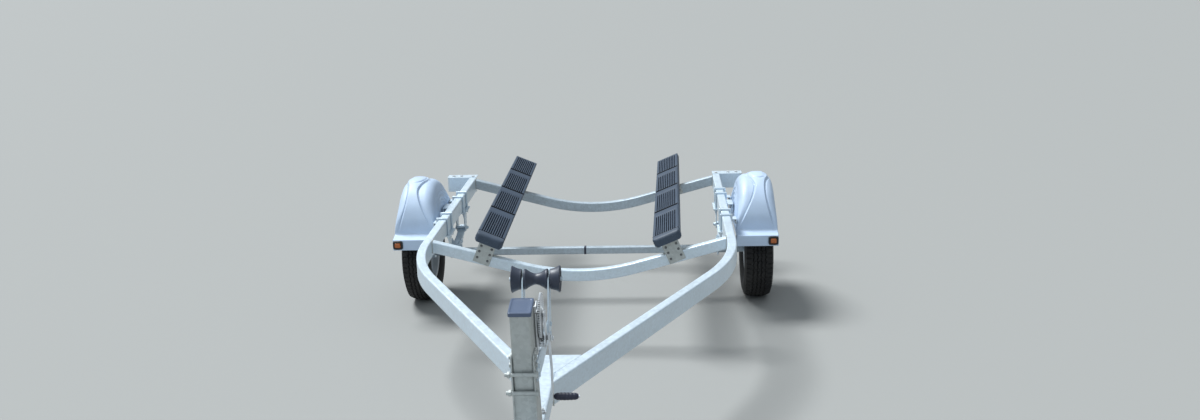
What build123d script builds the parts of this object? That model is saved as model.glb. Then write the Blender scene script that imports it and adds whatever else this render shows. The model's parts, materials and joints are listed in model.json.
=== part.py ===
from build123d import *
import math
import os

# Boat trailer: galvanised perimeter frame with a V tongue, one sprung axle, two tilted bunks,
# a leaning winch post with a bow roller, and a swing-up jack beside the tongue.
# Millimetres. +X is to the right as seen from ahead of the tongue, -Y is the way it is towed,
# +Z is up and z = 0 is the ground. Stations along Y are first measured from the axle.
# Every piece is then moved so that the origin is under the middle of the whole length.

# Overall stations
NOSE_Y = -4350
TAIL_Y = 1266
MIDDLE_Y = (NOSE_Y + TAIL_Y) / 2

# Main rails: rectangular tube, straight beside the wheels, bent inwards towards the tongue
RAIL_OUT_X = 880
RAIL_WIDTH = 51
RAIL_HEIGHT = 95
RAIL_WALL = 4
RAIL_TOP = 620
RAIL_REAR_Y = 785
RAIL_CORNER_Y = -1255
RAIL_BEND_RADIUS = 1475
V_ANGLE = 26.2
TUBE_CORNER = 8
RAIL_X = RAIL_OUT_X - RAIL_WIDTH / 2
RAIL_IN_X = RAIL_OUT_X - RAIL_WIDTH
RAIL_BOTTOM = RAIL_TOP - RAIL_HEIGHT

# Tongue: square tube between the front ends of the rails
TONGUE_SIZE = 76
TONGUE_WALL = 5
TONGUE_REAR_Y = -2860
TONGUE_FRONT_Y = -4262
TONGUE_HALF = TONGUE_SIZE / 2
TONGUE_BOTTOM = RAIL_TOP - TONGUE_SIZE
TONGUE_MID = RAIL_TOP - TONGUE_HALF
GUSSET_REAR_Y = -2674
GUSSET_THICK = 6

# Crossmembers: tube dipped in the middle so that a keel can pass
CROSS_WIDTH = 51
CROSS_HEIGHT = 64
CROSS_END_TOP = 616
CROSS_SLOPE = 15.1
CROSS_BEND_RADIUS = 1232
CROSS_FRONT_Y = -860
CROSS_REAR_Y = 759

# Axle, hubs and wheels
WHEEL_RADIUS = 305
WHEEL_X = 1065
TYRE_WIDTH = 178
RIM_RADIUS = 165
BEAD_X = 57.5
AXLE_SIZE = 45
AXLE_END_X = 955
SPINDLE_RADIUS = 17.5
SPINDLE_END_X = 1078
HUB_CLEARANCE = 0.06
HUB_IN_X = 990
LUG_CIRCLE = 57
LUG_COUNT = 5

# Leaf springs: arcs of flat bar, lowest in the middle on the axle
SPRING_WIDTH = 45
LEAF_THICK = 7
SPRING_RADIUS = 846
SPRING_EYE_Y = -333
SPRING_TAIL_Y = 290
HANGER_YS = (-333, 240)
U_BOLT_GAP = 68
U_BOLT_RADIUS = 6.3

# Fenders: moulded shells with a step at each end and a raised crown
FENDER_IN_X = 920
FENDER_OUT_X = 1170
FENDER_HALF_LENGTH = 400
FENDER_BOTTOM = 430
FENDER_LIP_TOP = 495
FENDER_STEP_TOP = 512
FENDER_ARCH_HALF = 330
FENDER_TOP = 782
CROWN_TOP = 800
FENDER_WALL = 4
FENDER_OPENING_RADIUS = 350
FENDER_INNER_LOW = 480
# Brackets to the rail: middle along Y, half length, low and high
FENDER_BRACKETS = ((-333, 34, 535, 590), (20, 60, 560, 604), (240, 34, 535, 590))

# Bunks: boards tilted towards the middle and covered with ribbed plastic sections
BUNK_TILT = 23
BUNK_FRONT_X = 487
BUNK_REAR_X = 520
BUNK_TOP = 650
BUNK_NOSE_Y = -932
BUNK_REAR_Y = 1265
BOARD_WIDTH = 148
BOARD_THICK = 38
PAD_WIDTH = 160
PAD_THICK = 10
PAD_SKIRT = 22
PAD_GAP = 5
PAD_CORNER = 8
PAD_STARTS = (-858, -290, 270, 828)
# Lengthwise grooves in each section, which end short of a plain band at its far end
GROOVE_COUNT = 10
GROOVE_PITCH = 13
GROOVE_DEPTH = 4
GROOVE_START = 14
PAD_BAND = 118

# Rear light boxes
LIGHT_OUT_X = 1035
LIGHT_DEPTH = 92
LIGHT_HEIGHT = 98
LIGHT_SHEET = 3

# Winch post: rectangular tube that leans forward
POST_WIDTH = 70
POST_DEPTH = 100
POST_LEAN = 9.45
POST_TOP = 1103
POST_TOP_FRONT_Y = -3584
CHEEK_THICK = 5

# Winch: toothed wheel on the drum, driven by a pinion on the crank's shaft
GEAR_MODULE = 2.5
GEAR_TEETH = 60
PINION_TEETH = 11
DRUM_Y = -3408
DRUM_Z = 1046
PINION_Y = -3392
CRANK_LENGTH = 215
GEAR_X = 47
GEAR_THICK = 7
WINCH_CHEEK_IN = 38
WINCH_CHEEK_OUT = 43
WINCH_PLATE_IN = 60.5
WINCH_PLATE_OUT = 64.5
SHAFT_RADIUS = 7
FLANGE_RADIUS = 50
STRAP_RADIUS = 46
CRANK_TOP_X = 77.5
CRANK_LOW_X = 82
CRANK_THICK = 6
GRIP_END_X = 169

# Bow roller
ROLLER_Y = -3060
ROLLER_Z = 1066
ROLLER_SHAFT_RADIUS = 8

# Jack, beside the tongue on the left
JACK_X = -150
JACK_Y = -4000
JACK_TUBE_RADIUS = 28.5
JACK_TUBE_TOP = 850
JACK_TUBE_BOTTOM = 350
JACK_LEG_RADIUS = 24
JACK_WHEEL_RADIUS = 76
JACK_TRAIL = 24
JACK_PIN_RADIUS = 9
LEG_FOOT = 190

# Coupler
BALL_Y = -4306
SOCKET_RADIUS = 25.7

os.makedirs("parts", exist_ok=True)


def rect_block(x0, x1, y0, y1, z0, z1):
    """Block between two corners."""
    return Pos((x0 + x1) / 2, (y0 + y1) / 2, (z0 + z1) / 2) * Box(abs(x1 - x0), abs(y1 - y0), abs(z1 - z0))


def rod_x(radius, x0, x1, y, z):
    """Round bar along X."""
    return Pos((x0 + x1) / 2, y, z) * Rot(0, 90, 0) * Cylinder(radius, abs(x1 - x0))


def rod_z(radius, x, y, z0, z1):
    """Round bar along Z."""
    return Pos(x, y, (z0 + z1) / 2) * Cylinder(radius, abs(z1 - z0))


def hex_x(radius, x, y, z, length):
    """Hexagon nut or bolt head whose axis is along X, from x towards +X."""
    return Pos(x, y, z) * Rot(0, 90, 0) * extrude(RegularPolygon(radius, 6), amount=length)


def side_profile(sketch, x0, x1):
    """Push a (Y, Z) sketch through from x0 to x1."""
    return extrude(Plane.YZ.offset(x0) * sketch, amount=x1 - x0, dir=(1, 0, 0))


def front_profile(sketch, y0, y1):
    """Push an (X, Z) sketch through from y0 to y1."""
    return extrude(Plane.XZ.offset(-y0) * sketch, amount=y1 - y0, dir=(0, 1, 0))


def plan_profile(sketch, z0, z1):
    """Push an (X, Y) sketch through from z0 to z1."""
    return extrude(Plane.XY.offset(z0) * sketch, amount=z1 - z0, dir=(0, 0, 1))


def outline(*points, rounded=0):
    """Closed outline through the points, with all corners rounded if asked."""
    face = Polygon(*points, align=None)
    return fillet(face.vertices(), rounded) if rounded else face


def turned_about_x(points, x=0, y=0, z=0):
    """Solid of revolution about X; the points are (distance along X, radius)."""
    face = make_face(Polyline(*points, close=True))
    return Pos(x, y, z) * revolve(face, Axis.X)


def square_tube(width, height, wall):
    """Section of a tube with rounded corners."""
    hole = RectangleRounded(width - 2 * wall, height - 2 * wall, TUBE_CORNER - wall)
    return RectangleRounded(width, height, TUBE_CORNER) - hole


def mirrored(shape):
    """The same piece on the other side."""
    return mirror(shape, about=Plane.YZ)


def all_solids(shape):
    """The solids of one shape or of a list of shapes."""
    shapes = shape if isinstance(shape, list) else [shape]
    return [solid for one in shapes for solid in one.solids()]


def save(name, shape):
    """Write one piece, moved so that the origin is under the middle of the length."""
    moved = [Pos(0, -MIDDLE_Y, 0) * solid for solid in all_solids(shape)]
    export_step(Compound(children=moved) if len(moved) > 1 else moved[0], f"parts/{name}.step")


def save_both(name, right_shape):
    """Write a piece of the right-hand side and its mirror image as one node."""
    right = all_solids(right_shape)
    save(name, right + [mirrored(solid) for solid in right])


def save_pair(name, right_shape):
    """Write a piece of the right-hand side and its mirror image as two nodes."""
    right = all_solids(right_shape)
    save(f"{name}_right", right)
    save(f"{name}_left", [mirrored(solid) for solid in right])


def rail():
    """Right rail: straight, one wide bend, then straight to the side of the tongue."""
    angle = math.radians(V_ANGLE)
    height = RAIL_TOP - RAIL_HEIGHT / 2
    rear = (RAIL_X, RAIL_REAR_Y, height)
    corner = (RAIL_X, RAIL_CORNER_Y, height)
    reach = RAIL_X / math.sin(angle)
    front = (0, RAIL_CORNER_Y - reach * math.cos(angle), height)
    path = FilletPolyline(rear, corner, front, radius=RAIL_BEND_RADIUS)
    start = Plane(origin=rear, x_dir=(1, 0, 0), z_dir=(0, -1, 0))
    tube = sweep(start * square_tube(RAIL_WIDTH, RAIL_HEIGHT, RAIL_WALL), path=path)
    return tube - rect_block(-400, TONGUE_HALF, front[1] - 200, TONGUE_REAR_Y + 300, 400, 700)


def rail_inner_x(y):
    """Where the inner face of the right rail's slanting part is at a station."""
    angle = math.radians(V_ANGLE)
    centre = RAIL_X - (RAIL_CORNER_Y - y) * math.tan(angle)
    return centre - RAIL_WIDTH / 2 / math.cos(angle)


def tongue():
    """Tongue tube with the two gusset plates that close the apex between the rails."""
    tube = front_profile(Pos(0, TONGUE_MID) * square_tube(TONGUE_SIZE, TONGUE_SIZE, TONGUE_WALL),
                         TONGUE_FRONT_Y, TONGUE_REAR_Y)
    rear_x = rail_inner_x(GUSSET_REAR_Y)
    front_x = rail_inner_x(TONGUE_REAR_Y)
    plate = outline((-rear_x, GUSSET_REAR_Y), (rear_x, GUSSET_REAR_Y),
                    (front_x, TONGUE_REAR_Y), (-front_x, TONGUE_REAR_Y))
    top = plan_profile(plate, RAIL_TOP - GUSSET_THICK, RAIL_TOP)
    bottom = plan_profile(plate, TONGUE_BOTTOM, TONGUE_BOTTOM + GUSSET_THICK)
    return tube + top + bottom


def crossmember(centre_y):
    """Dipped crossmember between the rails' inner faces."""
    slope = math.radians(CROSS_SLOPE)
    drop = CROSS_HEIGHT / 2 / math.cos(slope)
    end_z = CROSS_END_TOP - drop
    overrun = 60
    corner_z = end_z - RAIL_IN_X * math.tan(slope)
    end_x = RAIL_IN_X + overrun
    far_z = corner_z + end_x * math.tan(slope)
    left = (-end_x, centre_y, far_z)
    right = (end_x, centre_y, far_z)
    path = FilletPolyline(left, (0, centre_y, corner_z), right, radius=CROSS_BEND_RADIUS)
    start = Plane(origin=left, x_dir=(0, 1, 0), z_dir=(math.cos(slope), 0, -math.sin(slope)))
    tube = sweep(start * square_tube(CROSS_WIDTH, CROSS_HEIGHT, 4), path=path)
    return tube & rect_block(-RAIL_IN_X, RAIL_IN_X, centre_y - 100, centre_y + 100, 200, 800)


def axle():
    """Square axle tube with a turned spindle at each end."""
    section = Pos(0, WHEEL_RADIUS) * square_tube(AXLE_SIZE, AXLE_SIZE, 5)
    tube = side_profile(section, -AXLE_END_X, AXLE_END_X)
    spindle = rod_x(SPINDLE_RADIUS, AXLE_END_X - 60, SPINDLE_END_X, 0, WHEEL_RADIUS)
    shoulder = rod_x(24, AXLE_END_X, HUB_IN_X - 6, 0, WHEEL_RADIUS)
    end = spindle + shoulder
    return tube + end + mirrored(end)


def leaf(inner_radius, front_y, rear_y, seat_z):
    """One leaf: an arc of flat bar whose lowest point is over the axle."""
    outer_radius = inner_radius + LEAF_THICK
    centre_z = seat_z + SPRING_RADIUS

    def on_arc(radius, y):
        return (y, centre_z - math.sqrt(radius ** 2 - y ** 2))

    low_front = on_arc(outer_radius, front_y)
    low_rear = on_arc(outer_radius, rear_y)
    high_front = on_arc(inner_radius, front_y)
    high_rear = on_arc(inner_radius, rear_y)
    lower = ThreePointArc(low_front, (0, centre_z - outer_radius), low_rear)
    upper = ThreePointArc(high_rear, (0, centre_z - inner_radius), high_front)
    return make_face([lower, Line(low_rear, high_rear), upper, Line(high_front, low_front)])


LEAF_ENDS = ((SPRING_EYE_Y, SPRING_TAIL_Y), (-270, 230), (-190, 165), (-110, 100))
SEAT_TOP = WHEEL_RADIUS + AXLE_SIZE / 2 + 4 + LEAF_THICK * len(LEAF_ENDS)


def eye_height():
    """Height of the middle of the spring eye, which is rolled on top of the main leaf's end."""
    return SEAT_TOP + SPRING_RADIUS - math.sqrt(SPRING_RADIUS ** 2 - SPRING_EYE_Y ** 2) + 8


def spring():
    """Leaf spring with its rolled eye, top plate and two square U-bolts round the axle."""
    x0 = RAIL_X - SPRING_WIDTH / 2
    x1 = RAIL_X + SPRING_WIDTH / 2
    pack = None
    for index, (front_y, rear_y) in enumerate(LEAF_ENDS):
        piece = side_profile(leaf(SPRING_RADIUS + index * LEAF_THICK, front_y, rear_y, SEAT_TOP), x0, x1)
        pack = piece if pack is None else pack + piece
    eye_z = eye_height()
    eye = rod_x(15, x0, x1, SPRING_EYE_Y, eye_z)
    pack = pack + eye - rod_x(8.1, x0 - 1, x1 + 1, SPRING_EYE_Y, eye_z)
    axle_top = WHEEL_RADIUS + AXLE_SIZE / 2
    axle_bottom = WHEEL_RADIUS - AXLE_SIZE / 2
    half = AXLE_SIZE / 2 + U_BOLT_RADIUS
    pack += rect_block(x0, x1, -38, 38, axle_top, axle_top + 4.5)
    plate = rect_block(RAIL_X - 40, RAIL_X + 40, -42, 42, SEAT_TOP - 1, SEAT_TOP + 8)
    pack += plate
    for side_x in (RAIL_X - 30, RAIL_X + 30):
        for side_y in (-half, half):
            pack += rod_z(U_BOLT_RADIUS, side_x, side_y, axle_bottom - U_BOLT_RADIUS, SEAT_TOP + 26)
            pack += Pos(side_x, side_y, SEAT_TOP + 13) * extrude(RegularPolygon(10, 6), amount=5, both=True)
        pack += rect_block(side_x - 5, side_x + 5, -half, half, axle_bottom - 10.5, axle_bottom - 0.5)
    return pack


def hanger(station, pin_z, ear_drop):
    """Spring hanger under a rail, held by two square U-bolts over the rail."""
    plate = rect_block(RAIL_X - 48, RAIL_X + 48, station - 92, station + 92, RAIL_BOTTOM - 7, RAIL_BOTTOM)
    ear = outline((station - 52, RAIL_BOTTOM - 3), (station + 52, RAIL_BOTTOM - 3),
                  (station + 20, pin_z - ear_drop), (station - 20, pin_z - ear_drop))
    ear = fillet(ear.vertices().sort_by(Axis.Y)[:2], 14)
    inner = SPRING_WIDTH / 2 + 1.5
    body = plate
    body += side_profile(ear, RAIL_X + inner, RAIL_X + inner + 6)
    body += side_profile(ear, RAIL_X - inner - 6, RAIL_X - inner)
    body += rod_x(8, RAIL_X - inner - 22, RAIL_X + inner + 16, station, pin_z)
    for end in (-inner - 15, inner + 6):
        body += hex_x(13, RAIL_X + end, station, pin_z, 9)
    leg = RAIL_WIDTH / 2 + U_BOLT_RADIUS
    for bolt_y in (station - U_BOLT_GAP, station + U_BOLT_GAP):
        body += rod_x(U_BOLT_RADIUS, RAIL_X - leg, RAIL_X + leg, bolt_y, RAIL_TOP + U_BOLT_RADIUS)
        for side_x in (RAIL_X - leg, RAIL_X + leg):
            body += rod_z(U_BOLT_RADIUS, side_x, bolt_y, RAIL_BOTTOM - 34, RAIL_TOP + U_BOLT_RADIUS)
            body += Pos(side_x, bolt_y, RAIL_TOP + U_BOLT_RADIUS) * Sphere(U_BOLT_RADIUS)
            body += Pos(side_x, bolt_y, RAIL_BOTTOM - 18) * extrude(RegularPolygon(11, 6), amount=11)
    return body


def hangers():
    """Front hanger at the spring's eye and rear hanger over its sliding end."""
    tail_z = SEAT_TOP + SPRING_RADIUS - math.sqrt(SPRING_RADIUS ** 2 - HANGER_YS[1] ** 2)
    front = hanger(HANGER_YS[0], eye_height(), 26)
    rear = hanger(HANGER_YS[1], tail_z + 8.5, 24)
    return [front, rear]


def tyre():
    """Tyre: a turned carcass with rounded shoulders, its beads seated between the rim's flanges."""
    half = TYRE_WIDTH / 2
    right = [(half - 44, WHEEL_RADIUS), (half - 20, WHEEL_RADIUS - 10), (half - 6, WHEEL_RADIUS - 36),
             (half, RIM_RADIUS + 70), (half - 10, RIM_RADIUS + 28), (BEAD_X, RIM_RADIUS + 18),
             (BEAD_X, RIM_RADIUS + 5)]
    left = [(-x, radius) for x, radius in reversed(right)]
    return turned_about_x(left + right, WHEEL_X, 0, WHEEL_RADIUS)


def rim():
    """Pressed steel wheel: drop-centre barrel, flanges and a dished disc with vent holes."""
    barrel = [(-66, 178), (-60, 180), (-58, RIM_RADIUS + 4), (-30, RIM_RADIUS), (-20, 146), (20, 146),
              (30, RIM_RADIUS), (58, RIM_RADIUS + 4), (60, 180), (66, 178), (61, RIM_RADIUS - 1),
              (30, RIM_RADIUS - 5), (20, 141), (-20, 141), (-30, RIM_RADIUS - 5), (-61, RIM_RADIUS - 1)]
    disc = [(0, 40), (0, 78), (22, 98), (22, 128), (10, 144), (15, 144), (27, 130), (27, 95), (5, 74),
            (5, 40)]
    wheel = turned_about_x(barrel, WHEEL_X, 0, WHEEL_RADIUS)
    wheel += turned_about_x(disc, WHEEL_X, 0, WHEEL_RADIUS)
    for index in range(LUG_COUNT):
        turn = math.radians(90 + index * 360 / LUG_COUNT)
        wheel -= rod_x(8, WHEEL_X - 5, WHEEL_X + 12, LUG_CIRCLE * math.cos(turn),
                       WHEEL_RADIUS + LUG_CIRCLE * math.sin(turn))
    vents = 8
    vent_circle = 119
    for index in range(vents):
        turn = math.radians(index * 360 / vents)
        wheel -= rod_x(13, WHEEL_X + 10, WHEEL_X + 40, vent_circle * math.cos(turn),
                       WHEEL_RADIUS + vent_circle * math.sin(turn))
    return wheel


def hub():
    """Hub with its flange, grease cap and five studs with nuts."""
    bore = SPINDLE_RADIUS + HUB_CLEARANCE
    section = [(HUB_IN_X, bore), (HUB_IN_X, 38), (HUB_IN_X + 40, 34), (WHEEL_X - 10, 40),
               (WHEEL_X - 10, 72), (WHEEL_X, 72), (WHEEL_X, 38), (WHEEL_X + 22, 34), (WHEEL_X + 22, 28),
               (WHEEL_X + 46, 27), (WHEEL_X + 54, 20), (WHEEL_X + 54, 0), (SPINDLE_END_X + 6, 0),
               (SPINDLE_END_X + 6, bore)]
    body = turned_about_x(section, 0, 0, WHEEL_RADIUS)
    for index in range(LUG_COUNT):
        turn = math.radians(90 + index * 360 / LUG_COUNT)
        y = LUG_CIRCLE * math.cos(turn)
        z = WHEEL_RADIUS + LUG_CIRCLE * math.sin(turn)
        body += rod_x(6, WHEEL_X - 5, WHEEL_X + 30, y, z)
        body += hex_x(11, WHEEL_X + 5.5, y, z, 16)
    return body


def arch_side(top, half, inset):
    """Side outline of the fender: lips, steps and an arch up to the given height."""
    length = FENDER_HALF_LENGTH - inset
    start = (-half, FENDER_STEP_TOP - inset)
    end = (half, FENDER_STEP_TOP - inset)
    lip = FENDER_LIP_TOP - inset
    low = FENDER_BOTTOM - (60 if inset else 0)
    arch = ThreePointArc(start, (0, top), end)
    rest = Polyline(end, (length, lip), (length, low), (-length, low), (-length, lip), start)
    return make_face([arch, *rest.edges()])


def fender():
    """Moulded fender over the right wheel, hollow below and cut away round the wheel."""
    def shell(inset):
        low = FENDER_BOTTOM - (60 if inset else 0)
        front = Polygon((FENDER_IN_X + inset, low), (FENDER_IN_X + inset, FENDER_STEP_TOP),
                        (FENDER_IN_X + 35 + inset, CROWN_TOP), (FENDER_OUT_X - 13 - inset, CROWN_TOP),
                        (FENDER_OUT_X - inset, FENDER_STEP_TOP), (FENDER_OUT_X - inset, low), align=None)
        front = fillet(front.vertices().sort_by(Axis.Y)[-2:], 75 - inset)
        side = arch_side(FENDER_TOP - inset, FENDER_ARCH_HALF - inset, inset)
        return front_profile(front, -500, 500) & side_profile(side, FENDER_IN_X - 50, FENDER_OUT_X + 50)

    crown_front = outline((FENDER_IN_X + 14, FENDER_STEP_TOP - 20), (FENDER_IN_X + 66, CROWN_TOP + 10),
                          (FENDER_OUT_X - 42, CROWN_TOP + 10), (FENDER_OUT_X - 10, FENDER_STEP_TOP - 20))
    crown_side = arch_side(CROWN_TOP, FENDER_ARCH_HALF + 12, 0)
    crown = front_profile(crown_front, -FENDER_ARCH_HALF - 14, FENDER_ARCH_HALF + 14)
    crown = crown & side_profile(crown_side, FENDER_IN_X - 50, FENDER_OUT_X + 50)
    body = shell(0) + crown - shell(FENDER_WALL)
    middle_x = (FENDER_IN_X + FENDER_OUT_X) / 2
    body -= rod_x(FENDER_OPENING_RADIUS, middle_x, FENDER_OUT_X + 60, 0, WHEEL_RADIUS)
    gap = FENDER_HALF_LENGTH - 60
    return body - rect_block(FENDER_IN_X - 10, middle_x, -gap, gap, FENDER_BOTTOM - 10, FENDER_INNER_LOW)


def fender_bracket():
    """Folded brackets from the right rail's outer face to the fender's inner wall."""
    sheet = 4
    drop = 34
    pieces = []
    for middle_y, half_length, low, high in FENDER_BRACKETS:
        ends = (middle_y - half_length, middle_y + half_length)
        foot = rect_block(RAIL_OUT_X, RAIL_OUT_X + sheet, *ends, low, high)
        shelf = rect_block(RAIL_OUT_X, FENDER_IN_X, *ends, high - sheet, high)
        head = rect_block(FENDER_IN_X - sheet, FENDER_IN_X, *ends, high - drop, high)
        pieces.append(foot + shelf + head)
    return pieces


def bunk_place(y):
    """Middle of a bunk's top at a station, on the right."""
    share = (y - BUNK_NOSE_Y) / (BUNK_REAR_Y - BUNK_NOSE_Y)
    return BUNK_FRONT_X + share * (BUNK_REAR_X - BUNK_FRONT_X)


def on_bunk(shape):
    """Carry a piece modelled flat (top at z = 0, nose at y = 0) to the right bunk's place."""
    splay = math.degrees(math.atan2(BUNK_REAR_X - BUNK_FRONT_X, BUNK_REAR_Y - BUNK_NOSE_Y))
    return Pos(BUNK_FRONT_X, BUNK_NOSE_Y, BUNK_TOP) * Rot(0, 0, -splay) * Rot(0, -BUNK_TILT, 0) * shape


def bunk_board():
    """Timber board of the right bunk."""
    length = BUNK_REAR_Y - BUNK_NOSE_Y - 2 * PAD_THICK
    return on_bunk(rect_block(-BOARD_WIDTH / 2, BOARD_WIDTH / 2, PAD_THICK, PAD_THICK + length,
                              -PAD_THICK - BOARD_THICK, -PAD_THICK))


def pad_grooves(start, end):
    """Tapered lengthwise grooves for the top of one section."""
    top_half = 3
    bottom_half = 2
    cuts = []
    for index in range(GROOVE_COUNT):
        x = (index - (GROOVE_COUNT - 1) / 2) * GROOVE_PITCH
        section = outline((x - top_half, 1), (x + top_half, 1), (x + bottom_half, -GROOVE_DEPTH),
                          (x - bottom_half, -GROOVE_DEPTH))
        cuts.append(front_profile(section, start + GROOVE_START, end - PAD_BAND))
    return Compound(children=cuts)


def bunk_pad():
    """Plastic cover of the right bunk: a nose piece and four ribbed sections, all channels on the board."""
    half = PAD_WIDTH / 2
    inner = BOARD_WIDTH / 2
    length = BUNK_REAR_Y - BUNK_NOSE_Y
    starts = [0] + [start - BUNK_NOSE_Y for start in PAD_STARTS]
    ends = [start - PAD_GAP for start in starts[1:]] + [length]
    pieces = []
    for index, (start, end) in enumerate(zip(starts, ends)):
        skirt = PAD_THICK + (BOARD_THICK if index == 0 else PAD_SKIRT)
        piece = rect_block(-half, half, start, end, -skirt, 0)
        hollow_from = PAD_THICK if index == 0 else start
        piece -= rect_block(-inner, inner, hollow_from, end, -skirt, -PAD_THICK)
        if index == 0:
            nose = piece.edges().filter_by(Axis.X).group_by(Axis.Y)[0].sort_by(Axis.Z)[-1]
            piece = fillet(nose, 24)
        else:
            sides = piece.edges().filter_by(Axis.Y).group_by(Axis.Z)[-1]
            piece = fillet(sides, PAD_CORNER) - pad_grooves(start, end)
        pieces.append(on_bunk(piece).solid())
    return pieces


def bunk_bracket(cross_y):
    """Bolted plate on a crossmember's front face with a flange under the bunk's board."""
    face_y = cross_y - CROSS_WIDTH / 2
    under = -PAD_THICK - BOARD_THICK
    from_nose = face_y - BUNK_NOSE_Y
    flange = on_bunk(rect_block(-46, 46, from_nose - 6, from_nose + 56, under - 6, under))
    plate = rect_block(-48, 48, face_y - 6, face_y, under - 130, under - 2)
    plate = Pos(bunk_place(face_y), 0, BUNK_TOP) * Rot(0, -BUNK_TILT, 0) * plate
    return plate + flange


def light_box():
    """Folded sheet behind the right rail's end: top, front and outer side, open to the rear."""
    z0 = RAIL_TOP - LIGHT_HEIGHT
    y0 = RAIL_REAR_Y
    y1 = RAIL_REAR_Y + LIGHT_DEPTH
    block = rect_block(RAIL_IN_X, LIGHT_OUT_X, y0, y1, z0, RAIL_TOP + LIGHT_SHEET)
    corner = block.edges().filter_by(Axis.Z).sort_by(Axis.X)[-2:].sort_by(Axis.Y)[0]
    block = fillet(corner, 18)
    room = rect_block(RAIL_IN_X - 5, LIGHT_OUT_X - LIGHT_SHEET, y0 + LIGHT_SHEET, y1 + 5, z0 - 5, RAIL_TOP)
    inner = room.edges().filter_by(Axis.Z).sort_by(Axis.X)[-2:].sort_by(Axis.Y)[0]
    return block - fillet(inner, 18 - LIGHT_SHEET)


def tail_lamp():
    """Lamp unit that faces the rear inside the light box."""
    y0 = RAIL_REAR_Y + LIGHT_SHEET
    y1 = RAIL_REAR_Y + LIGHT_DEPTH
    low = RAIL_TOP - LIGHT_HEIGHT + 6
    base = rect_block(RAIL_OUT_X + 4, LIGHT_OUT_X - 18, y0, y1 - 20, low, RAIL_TOP - 4)
    lens = rect_block(RAIL_OUT_X + 7, LIGHT_OUT_X - 16, y1 - 20, y1, low + 3, RAIL_TOP - 7)
    lens = fillet(lens.faces().sort_by(Axis.Y)[-1].edges(), 8)
    return base + lens


def side_marker():
    """Amber marker on the front lip of the right fender."""
    base_depth = 10
    place = Pos(FENDER_OUT_X - 32, -FENDER_HALF_LENGTH, FENDER_BOTTOM + 33) * Rot(90, 0, 0)
    base = extrude(RectangleRounded(60, 52, 14), amount=base_depth)
    base = fillet(base.faces().sort_by(Axis.Z)[-1].edges(), 3)
    lens = Pos(0, 0, base_depth) * extrude(RectangleRounded(42, 36, 10), amount=6)
    lens = fillet(lens.faces().sort_by(Axis.Z)[-1].edges(), 3)
    return place * (base + lens)


def post_front_y(z):
    """Front face of the leaning post at a height."""
    return POST_TOP_FRONT_Y + (POST_TOP - z) * math.tan(math.radians(POST_LEAN))


def on_post(shape):
    """Carry a piece modelled upright, with the post's top front edge at the origin, to the leaning post."""
    return Pos(0, POST_TOP_FRONT_Y, POST_TOP) * Rot(POST_LEAN, 0, 0) * shape


def winch_post():
    """Leaning rectangular tube, cut level where it stands on the tongue."""
    length = (POST_TOP - RAIL_TOP) / math.cos(math.radians(POST_LEAN)) + 40
    section = Pos(0, POST_DEPTH / 2) * square_tube(POST_WIDTH, POST_DEPTH, 4)
    tube = on_post(plan_profile(section, -length, 0))
    return tube - rect_block(-200, 200, -4000, -3000, 300, RAIL_TOP + 6)


def post_cap():
    """Moulded cap on the post's top."""
    cap = Pos(0, POST_DEPTH / 2, 7) * Box(POST_WIDTH + 8, POST_DEPTH + 8, 14)
    cap = fillet(cap.edges().filter_by(Axis.Z), 9)
    cap = fillet(cap.faces().sort_by(Axis.Z)[-1].edges(), 4)
    return on_post(cap)


def post_bracket():
    """Base plate and two side plates that hold the post, with cross bolts ahead of it."""
    foot_front = post_front_y(RAIL_TOP) - 24
    foot_rear = post_front_y(RAIL_TOP) + POST_DEPTH + 26
    base = rect_block(-46, 46, foot_front, foot_rear, RAIL_TOP, RAIL_TOP + 6)
    inner = POST_WIDTH / 2
    top = 965
    low = RAIL_TOP + 3
    cheek = outline((post_front_y(low) - 20, low), (post_front_y(top) - 4, top),
                    (post_front_y(top) + 70, top), (post_front_y(low) + POST_DEPTH + 22, low))
    cheek = fillet(cheek.vertices().sort_by(Axis.Y)[-2:], 22)
    body = base
    for x0, x1 in ((inner, inner + CHEEK_THICK), (-inner - CHEEK_THICK, -inner)):
        body += side_profile(cheek, x0, x1)
    for z in (822, 891):
        y = post_front_y(z) - 9
        body += rod_x(7, -inner - 26, inner + 14, y, z)
        for x0 in (-inner - 17, inner + 6):
            body += hex_x(12, x0, y, z, 9)
    for z in (918, 948):
        for x0 in (-inner - CHEEK_THICK - 7, inner + CHEEK_THICK):
            body += hex_x(9, x0, post_front_y(z) + 16, z, 7)
    web_top = 812
    web = outline((post_front_y(low) - 6, low), (post_front_y(web_top) - 6, web_top),
                  (post_front_y(web_top), web_top), (post_front_y(low), low))
    body += side_profile(web, -inner - 3, inner + 3)
    return body


def gear_outline(teeth, module, slack=0.4):
    """Spur gear outline with straight-flanked teeth; slack narrows each tooth at the pitch circle."""
    pitch = module * teeth / 2
    points = []
    for index in range(teeth):
        middle = 2 * math.pi * index / teeth
        for share, radius in ((-0.40, pitch - 1.3 * module), (-0.25, pitch), (-0.12, pitch + 0.9 * module),
                              (0.12, pitch + 0.9 * module), (0.25, pitch), (0.40, pitch - 1.3 * module)):
            angle = middle + share * 2 * math.pi / teeth - math.copysign(slack / 2 / radius, share)
            points.append((radius * math.cos(angle), radius * math.sin(angle)))
    return Polygon(*points, align=None)


def pinion_height():
    """Height of the pinion's centre, one centre distance from the drum's."""
    distance = GEAR_MODULE * (GEAR_TEETH + PINION_TEETH) / 2
    return DRUM_Z - math.sqrt(distance ** 2 - (PINION_Y - DRUM_Y) ** 2)


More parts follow.
